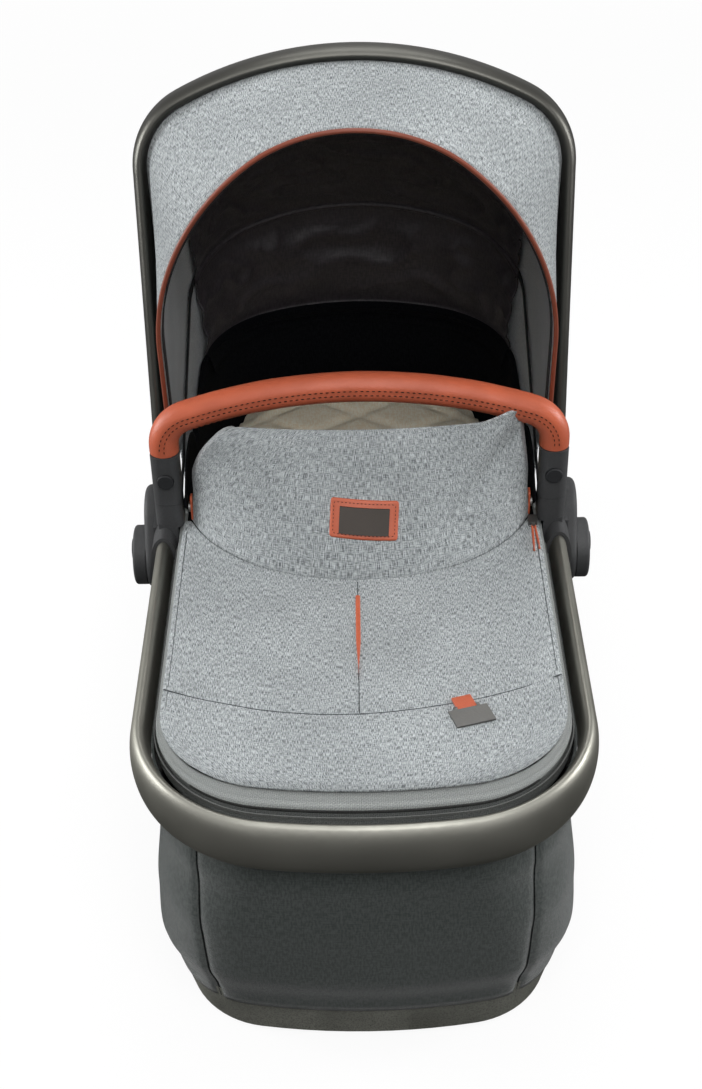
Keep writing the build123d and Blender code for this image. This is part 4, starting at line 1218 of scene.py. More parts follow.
@dataclass
class Tub(Assembly):
    """Base tray, cloth body, liner and mattress."""

    core: Vector = fixed(0.0, HUB.y, 0.15)
    above: Vector = fixed(0.0, HUB.y, 0.4)
    hem_z: float = 0.035
    base_z: float = 0.046
    straight_z: float = 0.222
    top_z: float = 0.2568
    hem_draw: float = 0.005
    base_draw: float = 0.002
    hem_swell: float = 0.0012
    corner_trim: float = 0.030
    bellies: tuple[Belly, ...] = (
        Belly(0.080, 0.0092, 0.009, 1.0),
        Belly(0.125, 0.0075, 0.008, 1.0),
        Belly(0.185, 0.0025, 0.004, 0.4),
    )
    girth: float = 2.25
    tube_gap: float = 0.0048
    tube_rise: Ramp = Ramp(0.205, 0.03)
    hub_run: Ramp = Ramp(0.02, 0.05)
    end_lean: float = 0.4
    body_creases: Creases = Creases(0.0009, 7.0, 1.0)
    seam_shares: tuple[float, ...] = (0.1825, 0.3175, 0.685, 0.815)
    foot_share: float = 0.25
    head_share: float = 0.75
    seam_lean: float = 0.14
    seam_dip: Dip = Dip(0.0022, 0.004)
    seam_probe: float = 0.004
    liner_draw: Pair = (0.0054, 0.0129)
    liner_taper: float = 0.014
    liner_foot_z: float = 0.0912
    liner_top_z: float = 0.2755
    liner_flange: float = 0.035
    flange_share: float = 0.2
    liner_gap: float = 0.0018
    liner_creases: Creases = Creases(0.0018, 9.0, 4.0)
    gusset_x: float = 0.168
    gusset_reach: Pair = (0.012, 0.084)
    gusset_turn: Pair = (4.0, 139.0)
    mattress_draw: Pair = (0.0254, 0.0179)
    mattress_core: Vector = fixed(0.0, HUB.y, 0.12)
    mattress_low_z: float = 0.0930
    mattress_top_z: float = 0.158
    mattress_drop: float = 0.006
    pad_flat: float = 0.45
    pad_gap: float = 0.003
    pad_round: float = 0.006
    pad_side: Ramp = Ramp(-0.55, 1.1)
    pad_low_gap: float = 0.002
    pad_top_gap: float = 0.004
    pillow_rise: float = 0.040
    pillow_run: Ramp = Ramp(0.02, 0.2)
    voxel: float = 0.006
    swell_frames: int = 20
    swell_cap: float = 0.007
    quilt_pitch: float = 0.062
    quilt_depth: float = 0.0045
    quilt_width: float = 0.005
    quilt_lean: float = 35.0
    quilt_from_z: float = 0.11

    def build(self) -> None:
        """Builds the tub from the floor up."""
        self.paint(BASE_PLASTIC, "base_tray")
        self.paint(RUBBER, "base_feet")
        self.paint(FOAM, "foam_platform")
        self.build_body()
        self.build_liner()
        self.build_gussets()
        self.build_mattress()

    def section(self, z: float) -> Plan:
        """The body's outline at a height.

        Args:
            z: the height.

        Returns:
            The outline.
        """
        trim = self.corner_trim
        levels = [
            (self.hem_z, RIM.drawn(self.hem_draw, 0.0, trim).inset(-self.hem_swell)),
            (self.base_z, RIM.drawn(self.base_draw, 0.0, trim).inset(-self.hem_swell)),
            *[(b.z, RIM.drawn(-b.sides, -b.ends, b.trim_share * trim)) for b in self.bellies],
            (self.straight_z, RIM),
            (self.top_z, RIM),
        ]
        for (low, a), (high, b) in zip(levels, levels[1:]):
            if z <= high:
                return a.toward(b, smooth((z - low) / (high - low)))
        return RIM

    def seam_at(self, seam: float, along: float) -> float:
        """Where a corner seam runs: it leans towards the nearer end of the tub on its way down."""
        end = self.head_share if seam > 0.5 else self.foot_share
        return lerp(seam, end, self.seam_lean * (1.0 - along))

    def on_body(self, share: float, along: float) -> Vector:
        """A point on the cloth body.

        Args:
            share: the way round, by the foot.
            along: the way up.

        Returns:
            The point.
        """
        z = lerp(self.hem_z, self.top_z, along)
        flare = self.tube_gap * self.tube_rise.at(z)
        plan = self.section(z)
        point = plan.at(share % 1.0, z)
        if flare > 0.0:
            wide = plan.inset(-flare).at(share % 1.0, z)
            point = point.lerp(wide, self.hub_run.at(HUB.y - point.y))
        out = Vector((point.x, (point.y - HUB.y) * self.end_lean, 0.0)).normalized()
        crease = self.body_creases.at(point) * math.sin(math.pi * along)
        off_seams = [(share - self.seam_at(seam, along)) * self.girth for seam in self.seam_shares]
        return point + out * (crease - sum(self.seam_dip.at(off) for off in off_seams))

    def seam_path(self, seam: float) -> Path:
        """The line of a corner seam, up the body.

        Args:
            seam: where the seam meets the rim, as a share of the way round.

        Returns:
            Points and outward directions.
        """
        path = []
        probe = self.seam_probe
        for along in shares(40):
            share = self.seam_at(seam, along)
            point = self.on_body(share, along)
            beside = self.on_body(share + probe, along) - self.on_body(share - probe, along)
            normal = beside.cross(UP).normalized()
            if normal.dot(point - self.core) < 0.0:
                normal.negate()
            path.append((point, normal))
        return path

    def build_body(self) -> None:
        """The dark cloth body with its corner seams."""
        size = (self.girth, 0.24)
        body = SEWING.sheet("body_cloth", [self.on_body], cells=(720, 36), size=size, behind=self.core)
        thicken(body, wall=0.0022)
        self.dress(body, BODY_CLOTH, "body_cloth", "body_shell", rides="cot")
        self.declare(body, (2.27, 0.24), 0.51, Held.STRETCHED, "base_tray")
        for index, seam in enumerate(self.seam_shares):
            path = self.seam_path(seam)
            thread = SEWING.ribbon(f"body_seam_{index + 1}", path, width=0.0024, height=0.0012)
            self.dress(thread, BODY_SEAM, "body_cloth", rides="cot")

    def on_liner(self, share: float, along: float) -> Vector:
        """A point on the liner: out over its flange, then up its wall.

        Args:
            share: the way round, by the foot.
            along: the way out and up.

        Returns:
            The point.
        """
        top = RIM.drawn(*self.liner_draw)
        foot = top.drawn(self.liner_taper, 0.0)
        if along < self.flange_share:
            inward = self.liner_flange * (1.0 - along / self.flange_share)
            return foot.inset(inward).at(share, self.liner_foot_z)
        up = (along - self.flange_share) / (1.0 - self.flange_share)
        point = foot.toward(top, up).at(share, lerp(self.liner_foot_z, self.liner_top_z, up))
        sag = self.liner_creases.at(point) * math.sin(math.pi * up)
        inside = Vector((-point.x, HUB.y - point.y, 0.0)).normalized()
        return point + inside * (self.liner_gap + sag)

    def build_liner(self) -> None:
        """The dark inner liner: a wall and a flange under the mattress."""
        size = (2.1, 0.23)
        liner = SEWING.sheet("liner_cloth", [self.on_liner], (260, 24), size, self.above, Facing.TOWARD)
        thicken(liner, wall=0.0012)
        # The liner's near-black colour holds painted shade of the tub's deep inside.
        self.dress(liner, SHADED_LINER_CLOTH, "lining", "inner_liner", rides="cot")
        self.declare(liner, (2.1, 0.23), 0.46, Held.STRETCHED, "foam_platform")

    def on_gusset(self, sign: float, across: float, along: float) -> Vector:
        """A point on the fan of cloth by a hub.

        Args:
            sign: -1 at the left hub and 1 at the right hub.
            across: the way round the hub.
            along: the way out from the hub.

        Returns:
            The point.
        """
        turn = math.radians(lerp(*self.gusset_turn, across))
        reach = lerp(*self.gusset_reach, along)
        return HUB + Vector((sign * self.gusset_x, reach * math.cos(turn), reach * math.sin(turn)))

    def build_gussets(self) -> None:
        """The black cloth at each side that closes the corner between the tub and the hood."""
        for side, sign in SIDES.items():
            place = partial(self.on_gusset, sign)
            piece = SEWING.sheet(f"gusset_{side}", [place], cells=(40, 12), size=(0.2, 0.072), behind=HUB)
            thicken(piece, wall=0.0008)
            # Near-black cloth that holds painted shade, as in the liner.
            self.dress(piece, SHADED_LINER_CLOTH, "lining", rides="cot")
            self.declare(piece, (0.15, 0.084), 0.0081, Held.STRETCHED, "liner_cloth")

    def on_mattress(self, share: float, along: float) -> Vector:
        """A point on the mattress before it swells.

        Args:
            share: the way round, by the foot.
            along: the way from under its middle, round its edge, to its top.

        Returns:
            The point.
        """
        edge = RIM.drawn(*self.mattress_draw)
        rise = centred(along)
        reach = min(1.0, (1.0 - abs(rise)) / self.pad_flat)
        outline = edge.inset(self.pad_gap + self.pad_round * (1.0 - reach)).at(share, 0.0)
        drop = self.mattress_drop * (outline.x * reach / edge.foot.half) ** 2
        y = HUB.y + (outline.y - HUB.y) * reach
        raised = self.pillow_rise * self.pillow_run.at(y - HUB.y)
        low = self.mattress_low_z + self.pad_low_gap
        top = self.mattress_top_z - self.pad_top_gap - drop + raised
        return Vector((outline.x * reach, y, lerp(low, top, self.pad_side.at(rise))))

    def build_mattress(self) -> None:
        """The quilted mattress: a pad swollen by simulation, then sewn through in diamonds."""
        pad = SEWING.sheet("mattress_pad", [self.on_mattress], (180, 44), (2.0, 0.4), self.mattress_core)
        self.remesh(pad)
        self.swell(pad)
        self.quilt(pad)
        soften(pad)
        # The mattress cloth carries painted light as well as its own beige.
        self.dress(pad, LIT_MATTRESS_CLOTH, "mattress_cloth", "mattress", rides="cot")

    def remesh(self, pad: bpy.types.Object) -> None:
        """Gives the pad even faces.

        Args:
            pad: the mattress.
        """
        modifier = pad.modifiers.new("Even", "REMESH")
        modifier.mode = "VOXEL"
        modifier.voxel_size = self.voxel
        self.apply(pad)
        for polygon in pad.data.polygons:
            polygon.use_smooth = True

    def apply(self, pad: bpy.types.Object) -> None:
        """Makes what the pad's modifiers give its own mesh.

        Args:
            pad: the mattress.
        """
        graph = bpy.context.evaluated_depsgraph_get()
        mesh = bpy.data.meshes.new_from_object(pad.evaluated_get(graph))
        pad.modifiers.clear()
        pad.data = mesh

    def swell(self, pad: bpy.types.Object) -> None:
        """Blows the pad up a little with Blender's cloth, and caps how far it moves.

        Args:
            pad: the mattress.
        """
        rest = [vert.co.copy() for vert in pad.data.vertices]
        modifier = pad.modifiers.new("Swell", "CLOTH")
        settings = modifier.settings
        settings.use_pressure = True
        settings.uniform_pressure_force = 4.0
        settings.quality = 4
        settings.effector_weights.gravity = 0.0
        modifier.point_cache.frame_start = 1
        modifier.point_cache.frame_end = self.swell_frames
        scene = bpy.context.scene
        for number in range(1, self.swell_frames + 1):
            scene.frame_set(number)
        self.apply(pad)
        scene.frame_set(1)
        for vert, start in zip(pad.data.vertices, rest):
            move = vert.co - start
            if move.length > self.swell_cap:
                vert.co = start + move.normalized() * self.swell_cap
            vert.co.z = max(vert.co.z, self.mattress_low_z)

    def quilt(self, pad: bpy.types.Object) -> None:
        """Presses the sewn diamonds into the pad's top.

        Args:
            pad: the mattress.
        """
        lean = math.radians(self.quilt_lean)
        for vert in pad.data.vertices:
            if vert.co.z < self.quilt_from_z:
                continue
            across = vert.co.x * math.sin(lean)
            along = (vert.co.y - HUB.y) * math.cos(lean)
            depth = 0.0
            for value in (along - across, along + across):
                away = abs((value / self.quilt_pitch) % 1.0 - 0.5) * self.quilt_pitch
                depth = max(depth, groove(away, self.quilt_width))
            vert.co.z -= self.quilt_depth * depth


@dataclass
class Rim(Assembly):
    """The band round the tub's mouth, with two ribbed tapes and the zip between them."""

    core: Vector = fixed(0.0, HUB.y, 0.2)
    low_z: float = 0.2576
    turn_z: float = 0.2755
    high_z: float = 0.2785
    turn_draw: Pair = (0.0015, 0.009)
    high_draw: Pair = (0.007, 0.024)
    turn_along: float = 0.55
    ribs: float = 3.0
    rib_height: float = 0.0012
    rib_round: float = 0.6
    rib_lift: float = 0.5
    rib_base: float = 0.0004
    width: float = 0.045
    foot_shares: Pair = (0.0, 0.5)
    head_shares: Pair = (0.495, 1.005)
    zip_along: float = 0.44
    zip_shares: Pair = (0.01, 0.49)
    zip_probe: Pair = (0.002, 0.1)

    def place(self, share: float, along: float) -> Vector:
        """A point on the band: up the tub's mouth and in under the apron's edge.

        Args:
            share: the way round, by the foot.
            along: the way up and in.

        Returns:
            The point.
        """
        turn = RIM.drawn(*self.turn_draw)
        if along < self.turn_along:
            up = along / self.turn_along
            outline, z = RIM.toward(turn, up), lerp(self.low_z, self.turn_z, up)
        else:
            up = (along - self.turn_along) / (1.0 - self.turn_along)
            outline = turn.toward(RIM.drawn(*self.high_draw), up)
            z = lerp(self.turn_z, self.high_z, up)
        rib = self.rib_height * abs(math.sin(self.ribs * math.pi * along)) ** self.rib_round
        return outline.inset(self.rib_base - rib).at(share % 1.0, z + self.rib_lift * rib)

    def on_part(self, ends: Pair, share: float, along: float) -> Vector:
        """A point on the part of the band between two shares of the way round."""
        return self.place(lerp(*ends, share), along)

    def zip_path(self) -> Path:
        """The line of the zip between the two tapes.

        Returns:
            Points and outward directions.
        """
        path = []
        step, back = self.zip_probe
        for share in shares(240, *self.zip_shares):
            point = self.place(share, self.zip_along)
            out = point - self.place(share, self.zip_along - back)
            ahead = self.place(share + step, self.zip_along) - self.place(share - step, self.zip_along)
            normal = ahead.cross(out).normalized()
            path.append((point, normal if normal.z > 0.0 else -normal))
        return path

    def build(self) -> None:
        """Builds the tape and the binding, and finishes the zip."""
        foot = partial(self.on_part, self.foot_shares)
        tape = SEWING.sheet("rim_tape", [foot], (200, 24), (1.13, self.width), self.core)
        thicken(tape, wall=0.0016)
        self.dress(tape, TAPE_CLOTH, "zip_tape", "rim_band", rides="cot")
        # The band below the zip takes the darker copy: painted shade over the tape's own colour.
        SEWING.band(tape, TAPE_SHADED_EDGE, 0.0, self.zip_along * self.width)
        self.declare(tape, (1.15, 0.04), 0.038, Held.STRETCHED, "body_cloth")
        head = partial(self.on_part, self.head_shares)
        binding = SEWING.sheet("rim_binding", [head], (160, 24), (1.08, self.width), self.core)
        thicken(binding, wall=0.0014)
        # The binding under the hood is near black, with painted shade.
        self.dress(binding, SHADED_LINER_CLOTH, "lining", rides="cot")
        self.declare(binding, (1.1, 0.04), 0.034, Held.STRETCHED, "body_cloth")
        line = SEWING.ribbon("zip_line", self.zip_path(), width=0.0028, height=0.0007)
        self.dress(line, ZIP_LINE, "zip_tape", rides="cot")
        self.paint(ZIP_COIL, "zip_chain")


@dataclass
class Apron(Assembly):
    """The zipped apron over the legs, with its seams, strip, tag loop and zip pull."""

    outline: Arch = Arch(0.1732, 0.423, 0.100, 0.570)
    under: Vector = fixed(0.0, -0.2, -2.0)
    start: float = 0.048
    corner_share: float = 0.3505
    cut_radius: float = 0.1765
    cut_y: float = 0.0148
    size: Pair = (0.35, 0.39)
    edge_z: float = 0.2809
    crown: float = 0.012
    crown_half: float = 0.176
    foot_crown: float = 0.002
    foot_rise: Ramp = Ramp(-0.443, 0.078)
    edge_roll: float = 0.0030
    edge_run: Ramp = Ramp(0.0, 0.008)
    soft_run: Ramp = Ramp(0.0, 0.05)
    slow_creases: Creases = Creases(0.0016, 9.0, 2.0)
    fine_creases: Creases = Creases(0.0006, 26.0, 5.0)
    well_in: float = 0.06
    probe: float = 0.002
    border: float = 0.006
    border_dip: Dip = Dip(0.0010, 0.0022)
    border_shares: Pair = (0.02, 0.98)
    border_lean: float = 0.3
    cross_half: float = 0.174
    cross_mid: float = -0.343
    cross_rise: float = 0.055
    cross_skew: float = 0.006
    cross_dip: Dip = Dip(0.0009, 0.0028)
    cross_ends: Pair = (-0.171, 0.171)
    centre_x: float = -0.0035
    centre_dip: Dip = Dip(0.0009, 0.0026)
    centre_ends: Pair = (-0.165, -0.342)
    strip_ends: Pair = (-0.186, -0.297)
    strip_sewn: tuple[int, int] = (2, 40)
    stitch_lift: float = 0.0014
    tag_at: Pair = (0.086, -0.336)
    tag_turn: float = 20.0
    tag_sewn: Pair = (0.0108, 0.0012)
    tag_sewn_half: float = 0.0075
    tag_out: Vector = fixed(0.1, 0.0, 1.0)
    loop_half: float = 0.0085
    loop_length: float = 0.0125
    loop_gap: float = 0.0011
    loop_bulge: float = 0.0017
    loop_bend: Pair = (0.4, 0.6)
    loop_inside: Vector = fixed(0.0, 0.004, 0.0)
    strand_spread: Pair = (0.0012, 0.0027)
    strand_half: Pair = (0.0013, 0.0005)
    strand_point: Ramp = Ramp(0.7, 0.3)
    strand_swell: float = 0.0006
    strand_short: float = 0.003
    strand_sink: float = 0.0005

    def edge(self, share: float) -> Vector:
        """A point on the side and foot outline, seen from above."""
        across, along = self.outline.at(share, self.start)
        return Vector((across, -along, 0.0))

    def head_edge(self, across: float) -> Vector:
        """A point on the curved edge that meets the wind flap, seen from above.

        Args:
            across: the way from left to right.

        Returns:
            The point, with the hubs' line at y = 0.
        """
        x = lerp(-self.outline.half, self.outline.half, across)
        inside = self.cut_radius**2 - x**2
        y = self.cut_y - math.sqrt(inside) if inside > 0.0 else -self.start
        return Vector((x, min(y, -self.start), 0.0))

    def spot(self, across: float, along: float) -> Vector:
        """A point of the apron seen from above, between its four edges.

        Args:
            across: the way from left to right.
            along: the way from the wind flap to the foot.

        Returns:
            The point, with the hubs' line at y = 0.
        """
        corner = self.corner_share
        left = self.edge(1.0 - corner * along)
        right = self.edge(corner * along)
        foot = self.edge(1.0 - corner - (1.0 - 2.0 * corner) * across)
        head = self.head_edge(across)
        ruled = head.lerp(foot, along) + left.lerp(right, across)
        ends = self.head_edge(0.0).lerp(self.head_edge(1.0), across)
        feet = self.edge(1.0 - corner).lerp(self.edge(corner), across)
        return ruled - ends.lerp(feet, along)

    def cross_seam_y(self, x: float) -> float:
        """Where the seam across the foot panel runs."""
        share = x / self.cross_half
        return self.cross_mid + self.cross_rise * share**2 + self.cross_skew * share

    def height(self, x: float, y: float, inside: float) -> float:
        """The apron's height at a place.

        Args:
            x: distance right of the middle.
            y: distance headwards of the hubs' line.
            inside: distance in from the apron's edge.

        Returns:
            The height in the shared frame.
        """
        crown = lerp(self.foot_crown, self.crown, self.foot_rise.at(y))
        z = self.edge_z + crown * (1.0 - (x / self.crown_half) ** 2)
        z -= self.edge_roll * (1.0 - self.edge_run.at(inside))
        z -= self.border_dip.at(inside - self.border)
        z -= self.cross_dip.at(y - self.cross_seam_y(x))
        if y > self.cross_seam_y(x):
            z -= self.centre_dip.at(x - self.centre_x)
        spot = Vector((x, y, 0.0))
        return z + self.soft_run.at(inside) * (self.slow_creases.at(spot) + self.fine_creases.at(spot))

    def place(self, across: float, along: float) -> Vector:
        """A point on the apron's upper face.

        Args:
            across: the way from left to right.
            along: the way from the wind flap to the foot.

        Returns:
            The point.
        """
        spot = self.spot(across, along)
        inside = min(min(across, 1.0 - across) * self.size[0], (1.0 - along) * self.size[1])
        return Vector((spot.x, spot.y + HUB.y, self.height(spot.x, spot.y, inside)))

    def well_inside(self, x: float, y: float) -> Vector:
        """A point on the upper face, away from the apron's edges."""
        return Vector((x, y + HUB.y, self.height(x, y, self.well_in)))

    def on(self, x: float, y: float) -> tuple[Vector, Vector]:
        """A point on the apron and the outward direction there.

        Args:
            x: distance right of the middle.
            y: distance headwards of the hubs' line.

        Returns:
            The point and the direction.
        """
        step = self.probe
        side = self.well_inside(x + step, y) - self.well_inside(x - step, y)
        ahead = self.well_inside(x, y + step) - self.well_inside(x, y - step)
        return self.well_inside(x, y), side.cross(ahead).normalized()

    def build(self) -> None:
        """Builds the apron and what is sewn to it."""
        apron = SEWING.sheet("apron_cloth", [self.place], (104, 112), self.size, self.under)
        thicken(apron, wall=0.0032)
        soften(apron)
        self.dress(apron, MELANGE, "melange", "apron_panel", rides="cot")
        self.declare(apron, (0.36, 0.40), 0.11, Held.STRETCHED, "rim_tape")
        self.build_seams()
        self.build_strip()
        self.build_tag()
        self.build_zip_pull()

    def build_seams(self) -> None:
        """Dark strips of painted seam shadow in the border, centre and cross seams."""
        rows = {
            "cross": [self.on(x, self.cross_seam_y(x)) for x in shares(90, *self.cross_ends)],
            "centre": [self.on(self.centre_x, y) for y in shares(50, *self.centre_ends)],
            "border": self.border_path(),
        }
        for name, path in rows.items():
            # Each strip is painted seam shadow: dark cloth laid in the seam's groove.
            thread = SEWING.ribbon(f"apron_seam_{name}", path, width=0.0015, height=0.0005)
            self.dress(thread, SEAM_SHADOW_CLOTH, "melange", rides="cot")

    def border_path(self) -> Path:
        """The line of the border seam, just inside the apron's edge.

        Returns:
            Points and outward directions.
        """
        inner = self.outline.inset(self.border)
        path = []
        for share in shares(160, *self.border_shares):
            across, along = inner.at(share, self.start)
            place = Vector((across, HUB.y - along, self.height(across, -along, self.border)))
            path.append((place, Vector((across * self.border_lean, 0.0, 1.0)).normalized()))
        return path

    def build_strip(self) -> None:
        """The leather strip on the centre seam."""
        path = [self.on(self.centre_x, y) for y in shares(60, *self.strip_ends)]
        strip = SEWING.ribbon("strip_leather", path, width=0.0046, height=0.0016, taper=0.5)
        self.dress(strip, TAN_LEATHER, "leather_tan", "center_strip", rides="cot")
        sewn = [(point + out * self.stitch_lift, out) for point, out in path[slice(*self.strip_sewn)]]
        row = SEWING.stitches("strip_stitch", sewn, Stitch(length=0.0026, gap=0.0018, thick=0.0006))
        self.dress(row, TAN_THREAD, "leather_tan", rides="cot")

    def on_loop(self, pose: Matrix, across: float, along: float) -> Vector:
        """A point on the tag's loop: forward under the tag's bar, round it and back over it.

        Args:
            pose: the loop's place and turn.
            across: the way over the loop's width.
            along: the way round it.

        Returns:
            The point.
        """
        x = centred(across) * self.loop_half
        first, last = self.loop_bend
        if along < first:
            return pose @ Vector((x, lerp(self.loop_length, 0.0, along / first), -self.loop_gap))
        if along < last:
            bend = math.pi * (along - first) / (last - first)
            return pose @ Vector((x, -self.loop_bulge * math.sin(bend), -self.loop_gap * math.cos(bend)))
        y = lerp(0.0, self.loop_length, (along - last) / (1.0 - last))
        return pose @ Vector((x, y, self.loop_gap))

    def build_tag(self) -> None:
        """The leather loop that holds the plain metal tag."""
        low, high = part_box("tag_loop")
        slope = math.atan(2.0 * self.crown * self.tag_at[0] / self.crown_half**2)
        turn = math.radians(self.tag_turn)
        pin = Vector((self.tag_at[0], self.tag_at[1] + HUB.y, (low.z + high.z) / 2.0))
        pose = Matrix.Translation(pin) @ Matrix.Rotation(slope, 4, "Y") @ Matrix.Rotation(turn, 4, "Z")
        place = partial(self.on_loop, pose)
        loop = SEWING.sheet("tag_leather", [place], (10, 40), (0.017, 0.03), pose @ self.loop_inside)
        thicken(loop, wall=0.0008)
        self.dress(loop, TAN_LEATHER, "leather_tan", "tag_loop", rides="cot")
        half = self.tag_sewn_half
        path = [(pose @ Vector((x, *self.tag_sewn)), self.tag_out) for x in shares(12, -half, half)]
        row = SEWING.stitches("tag_stitch", path, Stitch(length=0.0024, gap=0.0014, thick=0.0006))
        self.dress(row, TAN_THREAD, "leather_tan", rides="cot")
        self.paint(BRIGHT_METAL, "tag_plate", "zip_slider")

    def on_strand(self, sign: float, box: Sequence[Vector], across: float, along: float) -> Vector:
        """A point on one strand of the zip pull.

        Args:
            sign: -1 for the left strand and 1 for the right one, which is shorter.
            box: the pull's low and high corners.
            across: the way over the strand's width.
            along: the way from the slider to the strand's end.

        Returns:
            The point.
        """
        low, high = box
        spread = sign * lerp(*self.strand_spread, along)
        width = centred(across) * lerp(*self.strand_half, self.strand_point.at(along))
        swell = self.strand_swell * (1.0 - centred(across) ** 2)
        y = lerp(high.y, low.y + (self.strand_short if sign > 0.0 else 0.0), along)
        return Vector(((low.x + high.x) / 2.0 + spread + width, y, high.z - self.strand_sink + swell))

    def build_zip_pull(self) -> None:
        """The leather zip pull: two thin strands that part towards their ends."""
        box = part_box("zip_pull")
        places = [partial(self.on_strand, sign, box) for sign in SIDES.values()]
        pull = SEWING.sheet("pull_leather", places, (6, 40), (0.0026, 0.041), (box[0] + box[1]) / 2.0 - UP)
        thicken(pull, wall=0.0019)
        soften(pull)
        self.dress(pull, TAN_LEATHER, "leather_tan", "zip_pull", rides="zip_pull")


def rounded(u: float, v: float, half_u: float, half_v: float, radius: float) -> Pair:
    """Maps a square from -1 to 1 onto a rectangle with rounded corners.

    Args:
        u: share across, from -1 to 1.
        v: share along, from -1 to 1.
        half_u: half the width.
        half_v: half the length.
        radius: the corners' radius.

    Returns:
        The point's distance across and along from the middle.
    """
    a = (abs(u) * half_u - (half_u - radius)) / radius
    b = (abs(v) * half_v - (half_v - radius)) / radius
    x, y = abs(u) * half_u, abs(v) * half_v
    if a > 0.0 and b > 0.0:
        pull = max(a, b) / math.hypot(a, b)
        x = half_u - radius + radius * a * pull
        y = half_v - radius + radius * b * pull
    return math.copysign(x, u), math.copysign(y, v)


@dataclass(frozen=True)
class FlapEdge:
    """One of the wind flap's two edges: an arc seen from above, at a height."""

    half: float
    side: float
    mid: float
    z: float

    def at(self, across: float, out: float) -> Vector:
        """A point on the edge.

        Args:
            across: the way from left to right.
            out: distance off the inner face.

        Returns:
            The point.
        """
        rise = self.side - self.mid
        radius = (self.half**2 + rise**2) / (2.0 * rise)
        swing = math.asin(self.half / radius) * centred(across)
        reach = radius + out
        y = HUB.y + self.mid + radius - reach * math.cos(swing)
        return Vector((reach * math.sin(swing), y, self.z))


